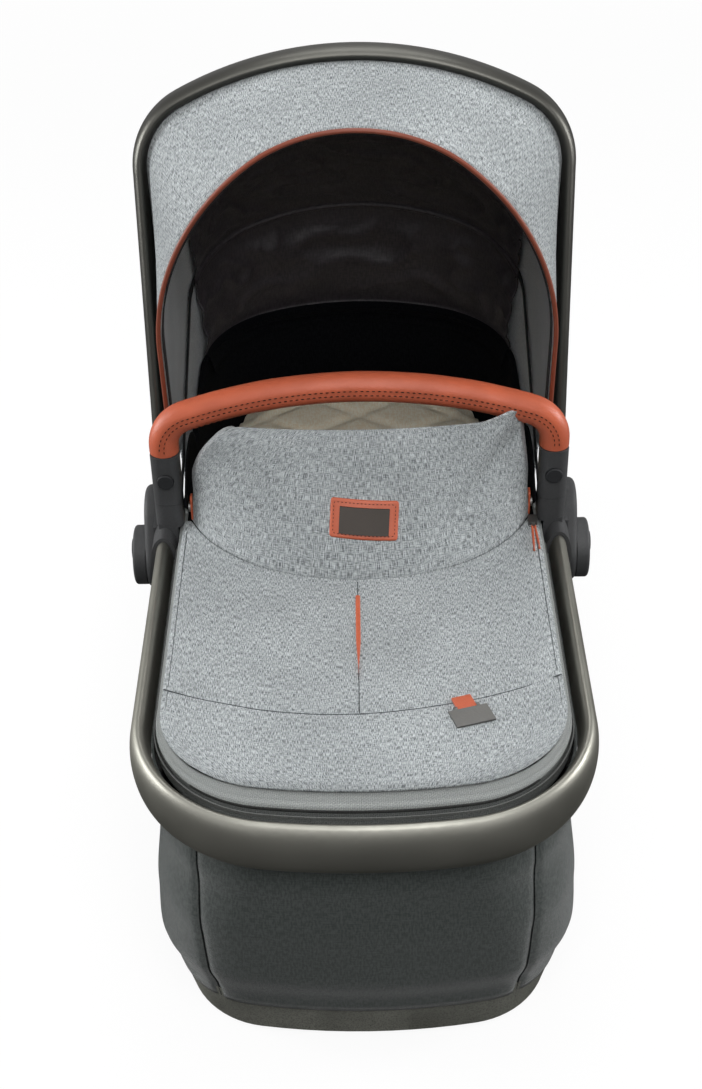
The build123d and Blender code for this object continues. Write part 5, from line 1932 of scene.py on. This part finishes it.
@dataclass
class Flap(Assembly):
    """The wind flap with its leather patch, plain plate and side tabs."""

    behind: Vector = fixed(0.0, 0.6, 0.3)
    foot: FlapEdge = FlapEdge(0.161, -0.048, -0.158, 0.2815)
    top: FlapEdge = FlapEdge(0.148, -0.066, -0.079, 0.4015)
    wall: float = 0.0033
    fold_z: float = 0.2985
    fold_below: float = 0.016
    fold_above: float = 0.012
    row_crowding: float = 1.25
    left_corner: Pair = (0.036, 0.070)
    right_corner: Pair = (0.004, 0.010)
    wing: float = 0.013
    wing_from: float = 0.92
    wing_rise: Ramp = Ramp(0.25, 0.3)
    wing_trim: float = 0.6
    wing_out: float = 0.35
    wing_drop: float = 0.25
    bulge: float = 0.002
    slow_creases: Creases = Creases(0.0040, 11.0, 7.0)
    fine_creases: Creases = Creases(0.0012, 27.0, 3.0)
    foot_run: Ramp = Ramp(0.0, 0.15)
    top_run: Ramp = Ramp(0.0, 0.1)
    top_roll: float = 0.004
    roll_rise: Ramp = Ramp(0.88, 0.12)
    valley: Dip = Dip(0.0085, 0.013)
    valley_at: Pair = (0.107, 0.34)
    valley_way: Pair = (0.74, 0.67)
    valley_run: Ramp = Ramp(0.05, 0.05)
    peak: float = 0.007
    peak_run: Ramp = Ramp(0.110, 0.034)
    peak_rise: Ramp = Ramp(0.78, 0.22)
    halvings: int = 30
    probe: Pair = (0.02, 0.05)
    patch_at: Pair = (0.0035, 0.334)
    patch_turn: float = 4.2
    patch_half: Pair = (0.0315, 0.0155)
    patch_corner: float = 0.003
    patch_clear: Pair = (0.055, 0.034)
    patch_free: Ramp = Ramp(0.7, 1.0)
    patch_lift: float = 0.0012
    patch_edge: Ramp = Ramp(0.0, 0.0015)
    patch_dip: Dip = Dip(0.0003, 0.0008)
    sewn_in: float = 0.0032
    sewn_corner: float = 0.002
    sewn_lift: float = 0.0011
    patch_stitch: Stitch = Stitch(0.0022, 0.0014, 0.0008)
    tab_corner: float = 0.004
    tab_sink: float = 0.0002

    def ruled(self, across: float, up: float, out: float) -> Vector:
        """A point on the flap's leaning surface, at a distance off its inner face."""
        return self.foot.at(across, out).lerp(self.top.at(across, out), up)

    def soft(self, across: float, up: float, out: float) -> Vector:
        """The same point with the cloth's bulge, creases, folded corner and rolled top.

        Args:
            across: the way from left to right.
            up: the way up.
            out: distance off the inner face.

        Returns:
            The point.
        """
        point = self.ruled(across, up, out)
        beside = (point.x - self.patch_at[0]) / self.patch_clear[0]
        above = (point.z - self.patch_at[1]) / self.patch_clear[1]
        free = self.patch_free.at(math.hypot(beside, above))
        swell = self.bulge * math.sin(math.pi * up) * free
        crease = self.slow_creases.at(point) + self.fine_creases.at(point)
        flat = free * self.foot_run.at(up) * self.top_run.at(1.0 - up)
        roll = self.top_roll * self.roll_rise.at(up)
        (way_x, way_z), (at_x, at_z) = self.valley_way, self.valley_at
        fold = way_x * (point.x - at_x) - way_z * (point.z - at_z)
        dent = self.valley.at(fold) * self.valley_run.at(point.x)
        lift = self.peak * self.peak_run.at(point.x) * self.peak_rise.at(up)
        return point + Vector((0.0, dent - swell - crease * flat + roll, lift))

    def place(self, across: float, along: float) -> Vector:
        """A point on the flap's outer face; past its rounded side edges the cloth turns back.

        Args:
            across: the way from left to right.
            along: the way up, with closer rows at the top.

        Returns:
            The point.
        """
        up = 1.0 - (1.0 - along) ** self.row_crowding
        side = centred(across)
        wide, tall = self.left_corner if side < 0.0 else self.right_corner
        into = max(0.0, 1.0 - (1.0 - up) * (self.top.z - self.foot.z) / tall)
        full = lerp(self.foot.half, self.top.half, up)
        half = full - wide * (1.0 - math.sqrt(1.0 - into**2))
        share = min(abs(side) / self.wing_from, 1.0) * half / full
        point = self.soft(0.5 + math.copysign(0.5 * share, side), up, self.wall)
        past = max(abs(side) - self.wing_from, 0.0) / (1.0 - self.wing_from)
        turned = self.wing * past * self.wing_rise.at(up) * (1.0 - self.wing_trim * into)
        return point + Vector((math.copysign(self.wing_out * turned, side), turned, -self.wing_drop * turned))

    def on(self, x: float, z: float, lift: float) -> tuple[Vector, Vector]:
        """A point on the flap's outer face and the outward direction there.

        Args:
            x: distance right of the middle.
            z: the height.
            lift: distance off the outer face.

        Returns:
            The point and the direction.
        """
        up = (z - self.foot.z) / (self.top.z - self.foot.z)
        low, high = 0.0, 1.0
        for _ in range(self.halvings):
            share = (low + high) / 2.0
            if self.soft(share, up, self.wall).x < x:
                low = share
            else:
                high = share
        point = self.soft(low, up, self.wall)
        beside, above = self.probe
        side = self.ruled(low + beside, up, 0.0) - self.ruled(low - beside, up, 0.0)
        rise = self.ruled(low, up + above, 0.0) - self.ruled(low, up - above, 0.0)
        normal = side.cross(rise).normalized()
        return point + normal * lift, normal

    def build(self) -> None:
        """Builds the flap and what is sewn to it."""
        flap = SEWING.sheet("flap_cloth", [self.place], (120, 60), (0.40, 0.13), self.behind)
        thicken(flap, self.wall)
        soften(flap)
        self.dress(flap, MELANGE, "melange", "wind_flap")
        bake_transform(flap)
        self.declare(flap, (0.41, 0.14), 0.045, Held.HUNG, "apron_cloth")
        self.build_patch()
        self.build_tabs()

    def on_patch(self, x: float, z: float, lift: float) -> tuple[Vector, Vector]:
        """A point on the leaning patch and the outward direction there.

        Args:
            x: distance along the patch from its middle.
            z: distance up the patch from its middle.
            lift: distance off the flap.

        Returns:
            The point and the direction.
        """
        lean = math.radians(self.patch_turn)
        across = x * math.cos(lean) + z * math.sin(lean)
        up = z * math.cos(lean) - x * math.sin(lean)
        return self.on(self.patch_at[0] + across, self.patch_at[1] + up, lift)

    def patch_face(self, across: float, along: float) -> Vector:
        """A point on the patch's outer face, with its turned edge and the groove of its seam.

        Args:
            across: the way from left to right.
            along: the way up.

        Returns:
            The point.
        """
        x, z = rounded(centred(across), centred(along), *self.patch_half, self.patch_corner)
        edge = min(self.patch_half[0] - abs(x), self.patch_half[1] - abs(z))
        lift = self.patch_lift * self.patch_edge.at(edge) - self.patch_dip.at(edge - self.sewn_in)
        return self.on_patch(x, z, lift)[0]

    def patch_seam(self) -> Path:
        """The line of stitches round the patch.

        Returns:
            Points and outward directions.
        """
        path = []
        halves = [half - self.sewn_in for half in self.patch_half]
        for turn in shares(120, 0.0, math.tau):
            square = max(abs(math.cos(turn)), abs(math.sin(turn)))
            u, v = math.cos(turn) / square, math.sin(turn) / square
            x, z = rounded(u, v, *halves, self.sewn_corner)
            path.append(self.on_patch(x, z, self.sewn_lift))
        return path

    def build_patch(self) -> None:
        """The leather patch with its stitched border; the plain plate keeps its CAD shape."""
        patch = SEWING.sheet("patch_leather", [self.patch_face], (60, 32), (0.063, 0.031), self.behind)
        thicken(patch, wall=0.0012)
        self.dress(patch, TAN_LEATHER, "leather_tan", "name_patch", rides="flap")
        row = SEWING.stitches("patch_stitch", self.patch_seam(), self.patch_stitch)
        self.dress(row, STITCH_THREAD, "leather_tan", rides="flap")
        self.paint(DARK_PLATE, "patch_plate")

    def on_tab(self, sign: float, box: Sequence[Vector], across: float, along: float) -> Vector:
        """A point on a side tab's outer face.

        Args:
            sign: -1 for the left tab and 1 for the right tab.
            box: the tabs' low and high corners.
            across: the way over the tab's width.
            along: the way up the tab.

        Returns:
            The point.
        """
        low, high = box
        half, middle = (high - low) / 2.0, (low + high) / 2.0
        y, z = rounded(centred(across), centred(along), half.y, half.z, self.tab_corner)
        return Vector((sign * (high.x - self.tab_sink), middle.y + y, middle.z + z))

    def build_tabs(self) -> None:
        """The two leather side tabs with their poppers."""
        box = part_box("flap_tabs")
        places = [partial(self.on_tab, sign, box) for sign in SIDES.values()]
        tabs = SEWING.sheet("tab_leather", places, (14, 30), (0.012, 0.027), (box[0] + box[1]) / 2.0)
        thicken(tabs, wall=0.002)
        self.dress(tabs, TAN_LEATHER, "leather_tan", "flap_tabs", rides="cot")
        self.paint(BRIGHT_METAL, "tab_poppers")


@dataclass
class Hood(Assembly):
    """The hood: arch tube, two cloth panels with their linings, bows and piping."""

    cloth_edge: Arch = Arch(0.1864, 0.4449, 0.0619, 0.3319)
    rear_edge: Arch = Arch(0.1854, 0.406, 0.125, 0.262)
    hem: Arch = Arch(0.179, 0.3913, 0.130, 0.260)
    visor_edge: Arch = Arch(0.1834, 0.434, 0.250, 0.147)
    tuck: Arch = Arch(0.160, 0.371, 0.114, 0.244)
    rear_inside: Vector = field(default_factory=lambda: HUB + Vector((0.0, 0.12, 0.08)))
    heart: Vector = field(default_factory=lambda: HUB + Vector((0.0, 0.1, 0.1)))
    arch_angle: float = 80.0
    rear_angle: float = 24.0
    visor_angle: float = 97.0
    fold_angle: float = 48.0
    fold_reach: float = 0.17
    tip_reach: float = 0.05
    split: float = 0.6
    wall: float = 0.0023
    visor_foot: float = 0.062
    visor_lap: float = 0.004
    visor_over: Ramp = Ramp(0.2, 0.12)
    visor_sag: float = 0.0018
    foot: float = 0.052
    hem_start: float = 0.048
    hem_z: float = 0.259
    hem_clear: float = 0.034
    hem_share: float = 0.8
    sag: float = 0.004
    sag_run: Ramp = Ramp(0.1, 0.2)
    seam_ends: Pair = (0.01, 0.985)
    seam_probe: float = 0.004
    lining_shares: Pair = (0.345, 0.245)
    lining_inset: float = 0.0042
    rib_inset: float = 0.0066
    rib_width: float = 0.02
    low_inset: float = 0.0040
    low_run: Ramp = Ramp(0.82, 0.1)
    lining_low_z: float = 0.2822
    lining_size: Pair = (0.4, 0.55)
    tuck_z: float = 0.262
    tuck_share: float = 0.93
    tuck_bow: float = 0.006
    crease: float = 0.0058
    crease_share: float = 0.9
    crumple: Creases = Creases(1.0, 23.0, 9.0)
    crumple_stretch: Colour = (0.7, 1.5, 1.5)
    rib_slack: Ramp = Ramp(0.0, 0.06)
    arch_slack: Ramp = Ramp(0.0, 0.05)
    low_slack: Ramp = Ramp(0.0, 0.04)
    welt_off: float = 0.0006
    piping_radius: float = 0.0022
    piping_inset: float = 0.00125
    piping_ends: Pair = (0.003, 0.997)
    piping_gap: float = 0.0002

    def build(self) -> None:
        """Builds the hood from the arch outwards."""
        # The arch takes the darker copy of the gunmetal, with painted shade.
        self.paint(SHADED_ARCH_METAL, "arch_tube")
        self.paint(HUB_PLASTIC, *both("arch_knuckle"))
        self.paint(STEEL, "arch_rivets")
        self.paint(BUTTON_PLASTIC, "visor_bow", "rear_bow")
        self.build_visor()
        self.build_rear()
        self.build_lining()
        self.build_piping()

    def across_plane(self, angle: float, reach: float) -> Vector:
        """A step square to a plane that leans about the hood's pivot."""
        lean = math.radians(angle)
        return Vector((0.0, -math.sin(lean), math.cos(lean))) * reach

    def bend_rear(self, obj: bpy.types.Object) -> None:
        """Works out a step across the fold between the tub and the arch, which is not used, and bakes a rear
        piece's place into its mesh.
        """
        normal = self.across_plane(self.fold_angle, self.fold_reach)
        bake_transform(obj)

    def bend_visor(self, obj: bpy.types.Object) -> None:
        """Works out a step across the fold between the arch and the visor's bow, which is not used, and bakes
        a visor piece's place into its mesh.
        """
        normal = self.across_plane((self.arch_angle + self.visor_angle) / 2.0, self.tip_reach)
        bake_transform(obj)

    def visor_point(self, share: float, along: float) -> Vector:
        """A point on the visor.

        Args:
            share: the way from right to left.
            along: 0 at the arch and 1 at the piping.

        Returns:
            The point.
        """
        over = self.visor_over.at(min(share, 1.0 - share))
        low = self.cloth_edge.inset(-self.visor_lap * over).at(share, self.visor_foot)
        high = self.visor_edge.at(share, self.visor_foot)
        dip = self.visor_sag * math.sin(math.pi * along)
        across = lerp(low[0], high[0], along)
        angle = lerp(self.arch_angle + self.split * (1.0 + over), self.visor_angle, along)
        return fan(angle, across, lerp(low[1], high[1], along) - dip)

    def build_visor(self) -> None:
        """The visor's cloth between the arch and the tan piping."""
        visor = SEWING.sheet("visor_cloth", [self.visor_point], (260, 24), (1.02, 0.13), HUB)
        self.dress(visor, MELANGE, "melange", "hood_visor")
        # The inner face is paler, partly through painted light.
        thicken(visor, self.wall, LIT_MELANGE_BACK)
        self.bend_visor(visor)
        self.declare(visor, (1.02, 0.14), 0.085, Held.STRETCHED, "arch_tube")

    def rear_point(
        self, share: float, along: float, inset: float = 0.0, low_z: float | None = None
    ) -> Vector:
        """A point on the rear panel.

        Args:
            share: the way from right to left.
            along: 0 at the arch, then the rear bow, and 1 at the hem.
            inset: how far inside the outer cloth the point lies.
            low_z: the height of the lower edge, the hem's own where none is given.

        Returns:
            The point.
        """
        fold = min(along / self.hem_share, 1.0)
        angle = lerp(self.arch_angle - self.split, self.rear_angle, fold)
        arch = self.cloth_edge.toward(self.rear_edge, fold).inset(inset)
        start = max(self.foot, self.hem_clear / math.sin(math.radians(angle)))
        across, reach = arch.at(share, start)
        slack = self.sag * math.sin(math.pi * fold) * self.sag_run.at(reach)
        point = fan(angle, across, reach - slack)
        if along <= self.hem_share:
            return point
        across, reach = self.hem.inset(inset).at(share, self.hem_start)
        low = Vector((across, HUB.y + reach, self.hem_z if low_z is None else low_z))
        return point.lerp(low, (along - self.hem_share) / (1.0 - self.hem_share))

    def panel_share(self, along: float) -> float:
        """Where the seam between the middle and the right side panel runs."""
        return lerp(*self.lining_shares, min(along / self.hem_share, 1.0))

    def seam_path(self, side: str) -> Path:
        """The line of the seam between the middle panel and a side panel.

        Args:
            side: the side panel's name.

        Returns:
            Points and outward directions.
        """
        path = []
        for along in shares(120, *self.seam_ends):
            first = self.panel_share(along)
            share = first if side == "right" else 1.0 - first
            point = self.rear_point(share, along)
            normal = (point - self.rear_point(share, along, self.seam_probe)).normalized()
            path.append((point, normal))
        return path

    def build_rear(self) -> None:
        """The rear cloth from the arch down to the rim."""
        rear = SEWING.sheet("hood_cloth", [self.rear_point], (220, 80), (1.0, 0.55), self.rear_inside)
        self.dress(rear, MELANGE, "melange", "hood_rear")
        # The inner face is paler, partly through painted light.
        thicken(rear, self.wall, LIT_MELANGE_BACK)
        self.bend_rear(rear)
        self.declare(rear, (1.02, 0.56), 0.36, Held.STRETCHED, "arch_tube", "rear_bow")
        for side in reversed(SIDES):
            # The seams between the panels get strips of painted seam shadow.
            seam = SEWING.ribbon(f"hood_seam_{side}", self.seam_path(side), width=0.003, height=0.0009)
            self.dress(seam, SEAM_SHADOW_CLOTH, "melange")
            self.bend_rear(seam)

    def on_lining(self, across: float, length: float) -> Vector:
        """A point on the lining: down the middle panel, and tucked in at the rim.

        Args:
            across: the way from right to left.
            length: the way down.

        Returns:
            The point.
        """
        along = min(length / self.tuck_share, 1.0)
        first = self.panel_share(along)
        share = lerp(first, 1.0 - first, across)
        rib = groove(along - self.hem_share, self.rib_width)
        inset = lerp(self.lining_inset, self.rib_inset, rib) + self.low_inset * self.low_run.at(along)
        outer = self.rear_point(share, along, inset, self.lining_low_z)
        if length > self.tuck_share:
            over = (length - self.tuck_share) / (1.0 - self.tuck_share)
            side, reach = self.tuck.at(share, self.hem_start)
            inner = Vector((side, HUB.y + reach, self.tuck_z))
            return outer.lerp(inner, over) + UP * (self.tuck_bow * math.sin(math.pi * over))
        fold = self.crumple.at(outer * Vector(self.crumple_stretch))
        ridge = 1.0 - 2.0 * math.sqrt(abs(fold))
        slack = self.rib_slack.at(abs(along - self.hem_share)) * self.arch_slack.at(along)
        slack *= self.low_slack.at(1.0 - along)
        inward = (self.heart - outer).normalized()
        return outer + inward * (self.crease + self.crease_share * self.crease * ridge) * slack

    def build_lining(self) -> None:
        """The black lining of the middle panel, stretched over the rear bow."""
        places = [self.on_lining]
        size = self.lining_size
        lining = SEWING.sheet("hood_lining", places, (150, 120), size, self.heart, Facing.TOWARD)
        thicken(lining, wall=0.0008)
        self.dress(lining, LINING_CLOTH, "lining")
        # The tucked-in band at the rim is drawn near black, with painted shade.
        SEWING.band(lining, SHADED_LINER_CLOTH, self.tuck_share * size[1], 1.0)
        self.bend_rear(lining)
        self.declare(lining, (0.44, 0.54), 0.21, Held.STRETCHED, "rear_bow")
        self.build_rib()

    def build_rib(self) -> None:
        """The sewn welt that follows the rear bow across the lining."""
        first = self.panel_share(self.hem_share)
        path = []
        for share in shares(120, first, 1.0 - first):
            point = self.rear_point(share, self.hem_share, self.rib_inset + self.welt_off)
            path.append((point, (self.heart - point).normalized()))
        rib = SEWING.ribbon("lining_rib", path, width=0.007, height=0.0034)
        self.dress(rib, LINING_CLOTH, "lining")
        self.bend_rear(rib)

    def piping_line(self, along: float) -> Vector:
        """The piping's centre line.

        Args:
            along: the way from its right end to its left end.

        Returns:
            The point.
        """
        arch = self.visor_edge.inset(self.piping_inset)
        across, reach = arch.at(lerp(*self.piping_ends, along), self.visor_foot)
        return fan(self.visor_angle, across, reach, self.piping_radius + self.piping_gap)

    def build_piping(self) -> None:
        """The tan piping along the visor's edge."""
        length = 2.0 * sum(self.visor_edge.walk(self.visor_foot)[:3])
        piping = SEWING.tube("piping_leather", self.piping_line, self.piping_radius, (14, 360), length)
        self.dress(piping, PIPING_LEATHER, "leather_tan", "hood_piping", rides="visor")


@dataclass
class Bumper(Assembly):
    """The bumper bar: a leather cover with a sewn seam, and its plastic sleeves."""

    bar: Arch = Arch(0.184, 0.429, 0.034, 0.4784)
    y: float = -0.013
    start: float = 0.3621
    middle_z: float = 0.41
    radius: float = 0.0142
    core: float = 0.0105
    cells: tuple[int, int] = (36, 240)
    end_rows: int = 3
    end_round: float = 0.6
    probe: float = 0.002
    outward_share: float = 0.3
    outward_z: float = 0.3
    seam_turn: float = 0.06
    seam_gap: float = 0.0022
    seam_dip: Dip = Dip(0.0014, 0.0013)
    seam_ends: Pair = (0.012, 0.988)
    seam_sink: float = 0.0001
    seam_stitch: Stitch = Stitch(0.0036, 0.0017, 0.0011)
    bend_shares: Pair = (0.145, 0.855)
    bend_width: float = 0.05
    crease: float = 0.0005
    crease_pace: float = 420.0
    crease_under: float = 0.2
    creases: Creases = Creases(0.0003, 30.0, 6.0)

    def on(self, along: float, turn: float, radius: float) -> tuple[Vector, Vector]:
        """A point on the cover.

        Args:
            along: share of the way from the right end to the left end.
            turn: angle round the bar from its front, upwards, in radians.
            radius: distance from the bar's middle line.

        Returns:
            The point and the outward direction there.
        """
        across, rise = self.bar.at(along, self.start)
        before = self.bar.at(max(along - self.probe, 0.0), self.start)
        after = self.bar.at(min(along + self.probe, 1.0), self.start)
        ahead = Vector((after[0] - before[0], 0.0, after[1] - before[1])).normalized()
        out = Vector((-ahead.z, 0.0, ahead.x))
        if out.dot(Vector((across * self.outward_share, 0.0, rise - self.outward_z))) < 0.0:
            out.negate()
        normal = Vector((0.0, -math.cos(turn), 0.0)) + out * math.sin(turn)
        return Vector((across, self.y, rise)) + normal * radius, normal

    def place(self, around: float, along: float) -> Vector:
        """A point on the cover's leather, with its seam, creases and closed ends.

        Args:
            around: the way round the bar, from its front.
            along: the way from right to left.

        Returns:
            The point.
        """
        turn = math.tau * around
        rows = self.end_rows / self.cells[1]
        inner = min(along, 1.0 - along)
        if inner < rows:
            thick = lerp(self.core, self.radius, (inner / rows) ** self.end_round)
            return self.on(0.0 if along < 0.5 else 1.0, turn, thick)[0]
        walk = (along - rows) / (1.0 - 2.0 * rows)
        point, normal = self.on(walk, turn, self.radius)
        off_seam = turn - self.seam_turn
        dip = self.seam_dip.at(math.atan2(math.sin(off_seam), math.cos(off_seam)) * self.radius)
        bend = groove(min(abs(walk - share) for share in self.bend_shares), self.bend_width)
        under = smooth(-math.sin(turn) + self.crease_under)
        crease = bend * self.crease * math.sin(walk * self.crease_pace) * under
        return point + normal * (crease - dip + self.creases.at(point))

    def build(self) -> None:
        """Builds the cover, sews its seam and finishes the rigid pieces."""
        middle = Vector((0.0, self.y, self.middle_z))
        cover = SEWING.sheet("bumper_leather", [self.place], self.cells, size=(0.09, 0.55), behind=middle)
        SEWING.turn_out(cover)
        soften(cover)
        self.dress(cover, TAN_LEATHER, "leather_tan", "bumper_cover", rides="bumper")
        for index, offset in enumerate((-self.seam_gap, self.seam_gap)):
            turn = self.seam_turn + offset / self.radius
            sewn = self.radius - self.seam_sink
            path = [self.on(along, turn, sewn) for along in shares(300, *self.seam_ends)]
            row = SEWING.stitches(f"bumper_stitch_{index + 1}", path, self.seam_stitch)
            self.dress(row, STITCH_THREAD, "leather_tan", rides="bumper")
        self.paint(HUB_PLASTIC, *both("bumper_sleeve"))
        self.paint(BUTTON_PLASTIC, *both("bumper_button"))
        self.paint(STEEL, "bumper_core", *both("bumper_spring"))
        push = Vector((0.0, 1.0, 0.0))
        for side in SIDES:
            self.shorten(f"bumper_spring_{side}", f"bumper_button_{side}_press", push, keep=0.45)


def main() -> None:
    """Builds every sub-assembly in order and reports its pieces."""
    logging.basicConfig(level=logging.INFO, format="%(name)s: %(message)s")
    Studio().build()
    for assembly in (Frame(), Tub(), Rim(), Apron(), Flap(), Hood(), Bumper()):
        assembly.build()
        for name in assembly.made:
            log.info("%s: %s", type(assembly).__name__, name)


if __name__ == "__main__":
    main()
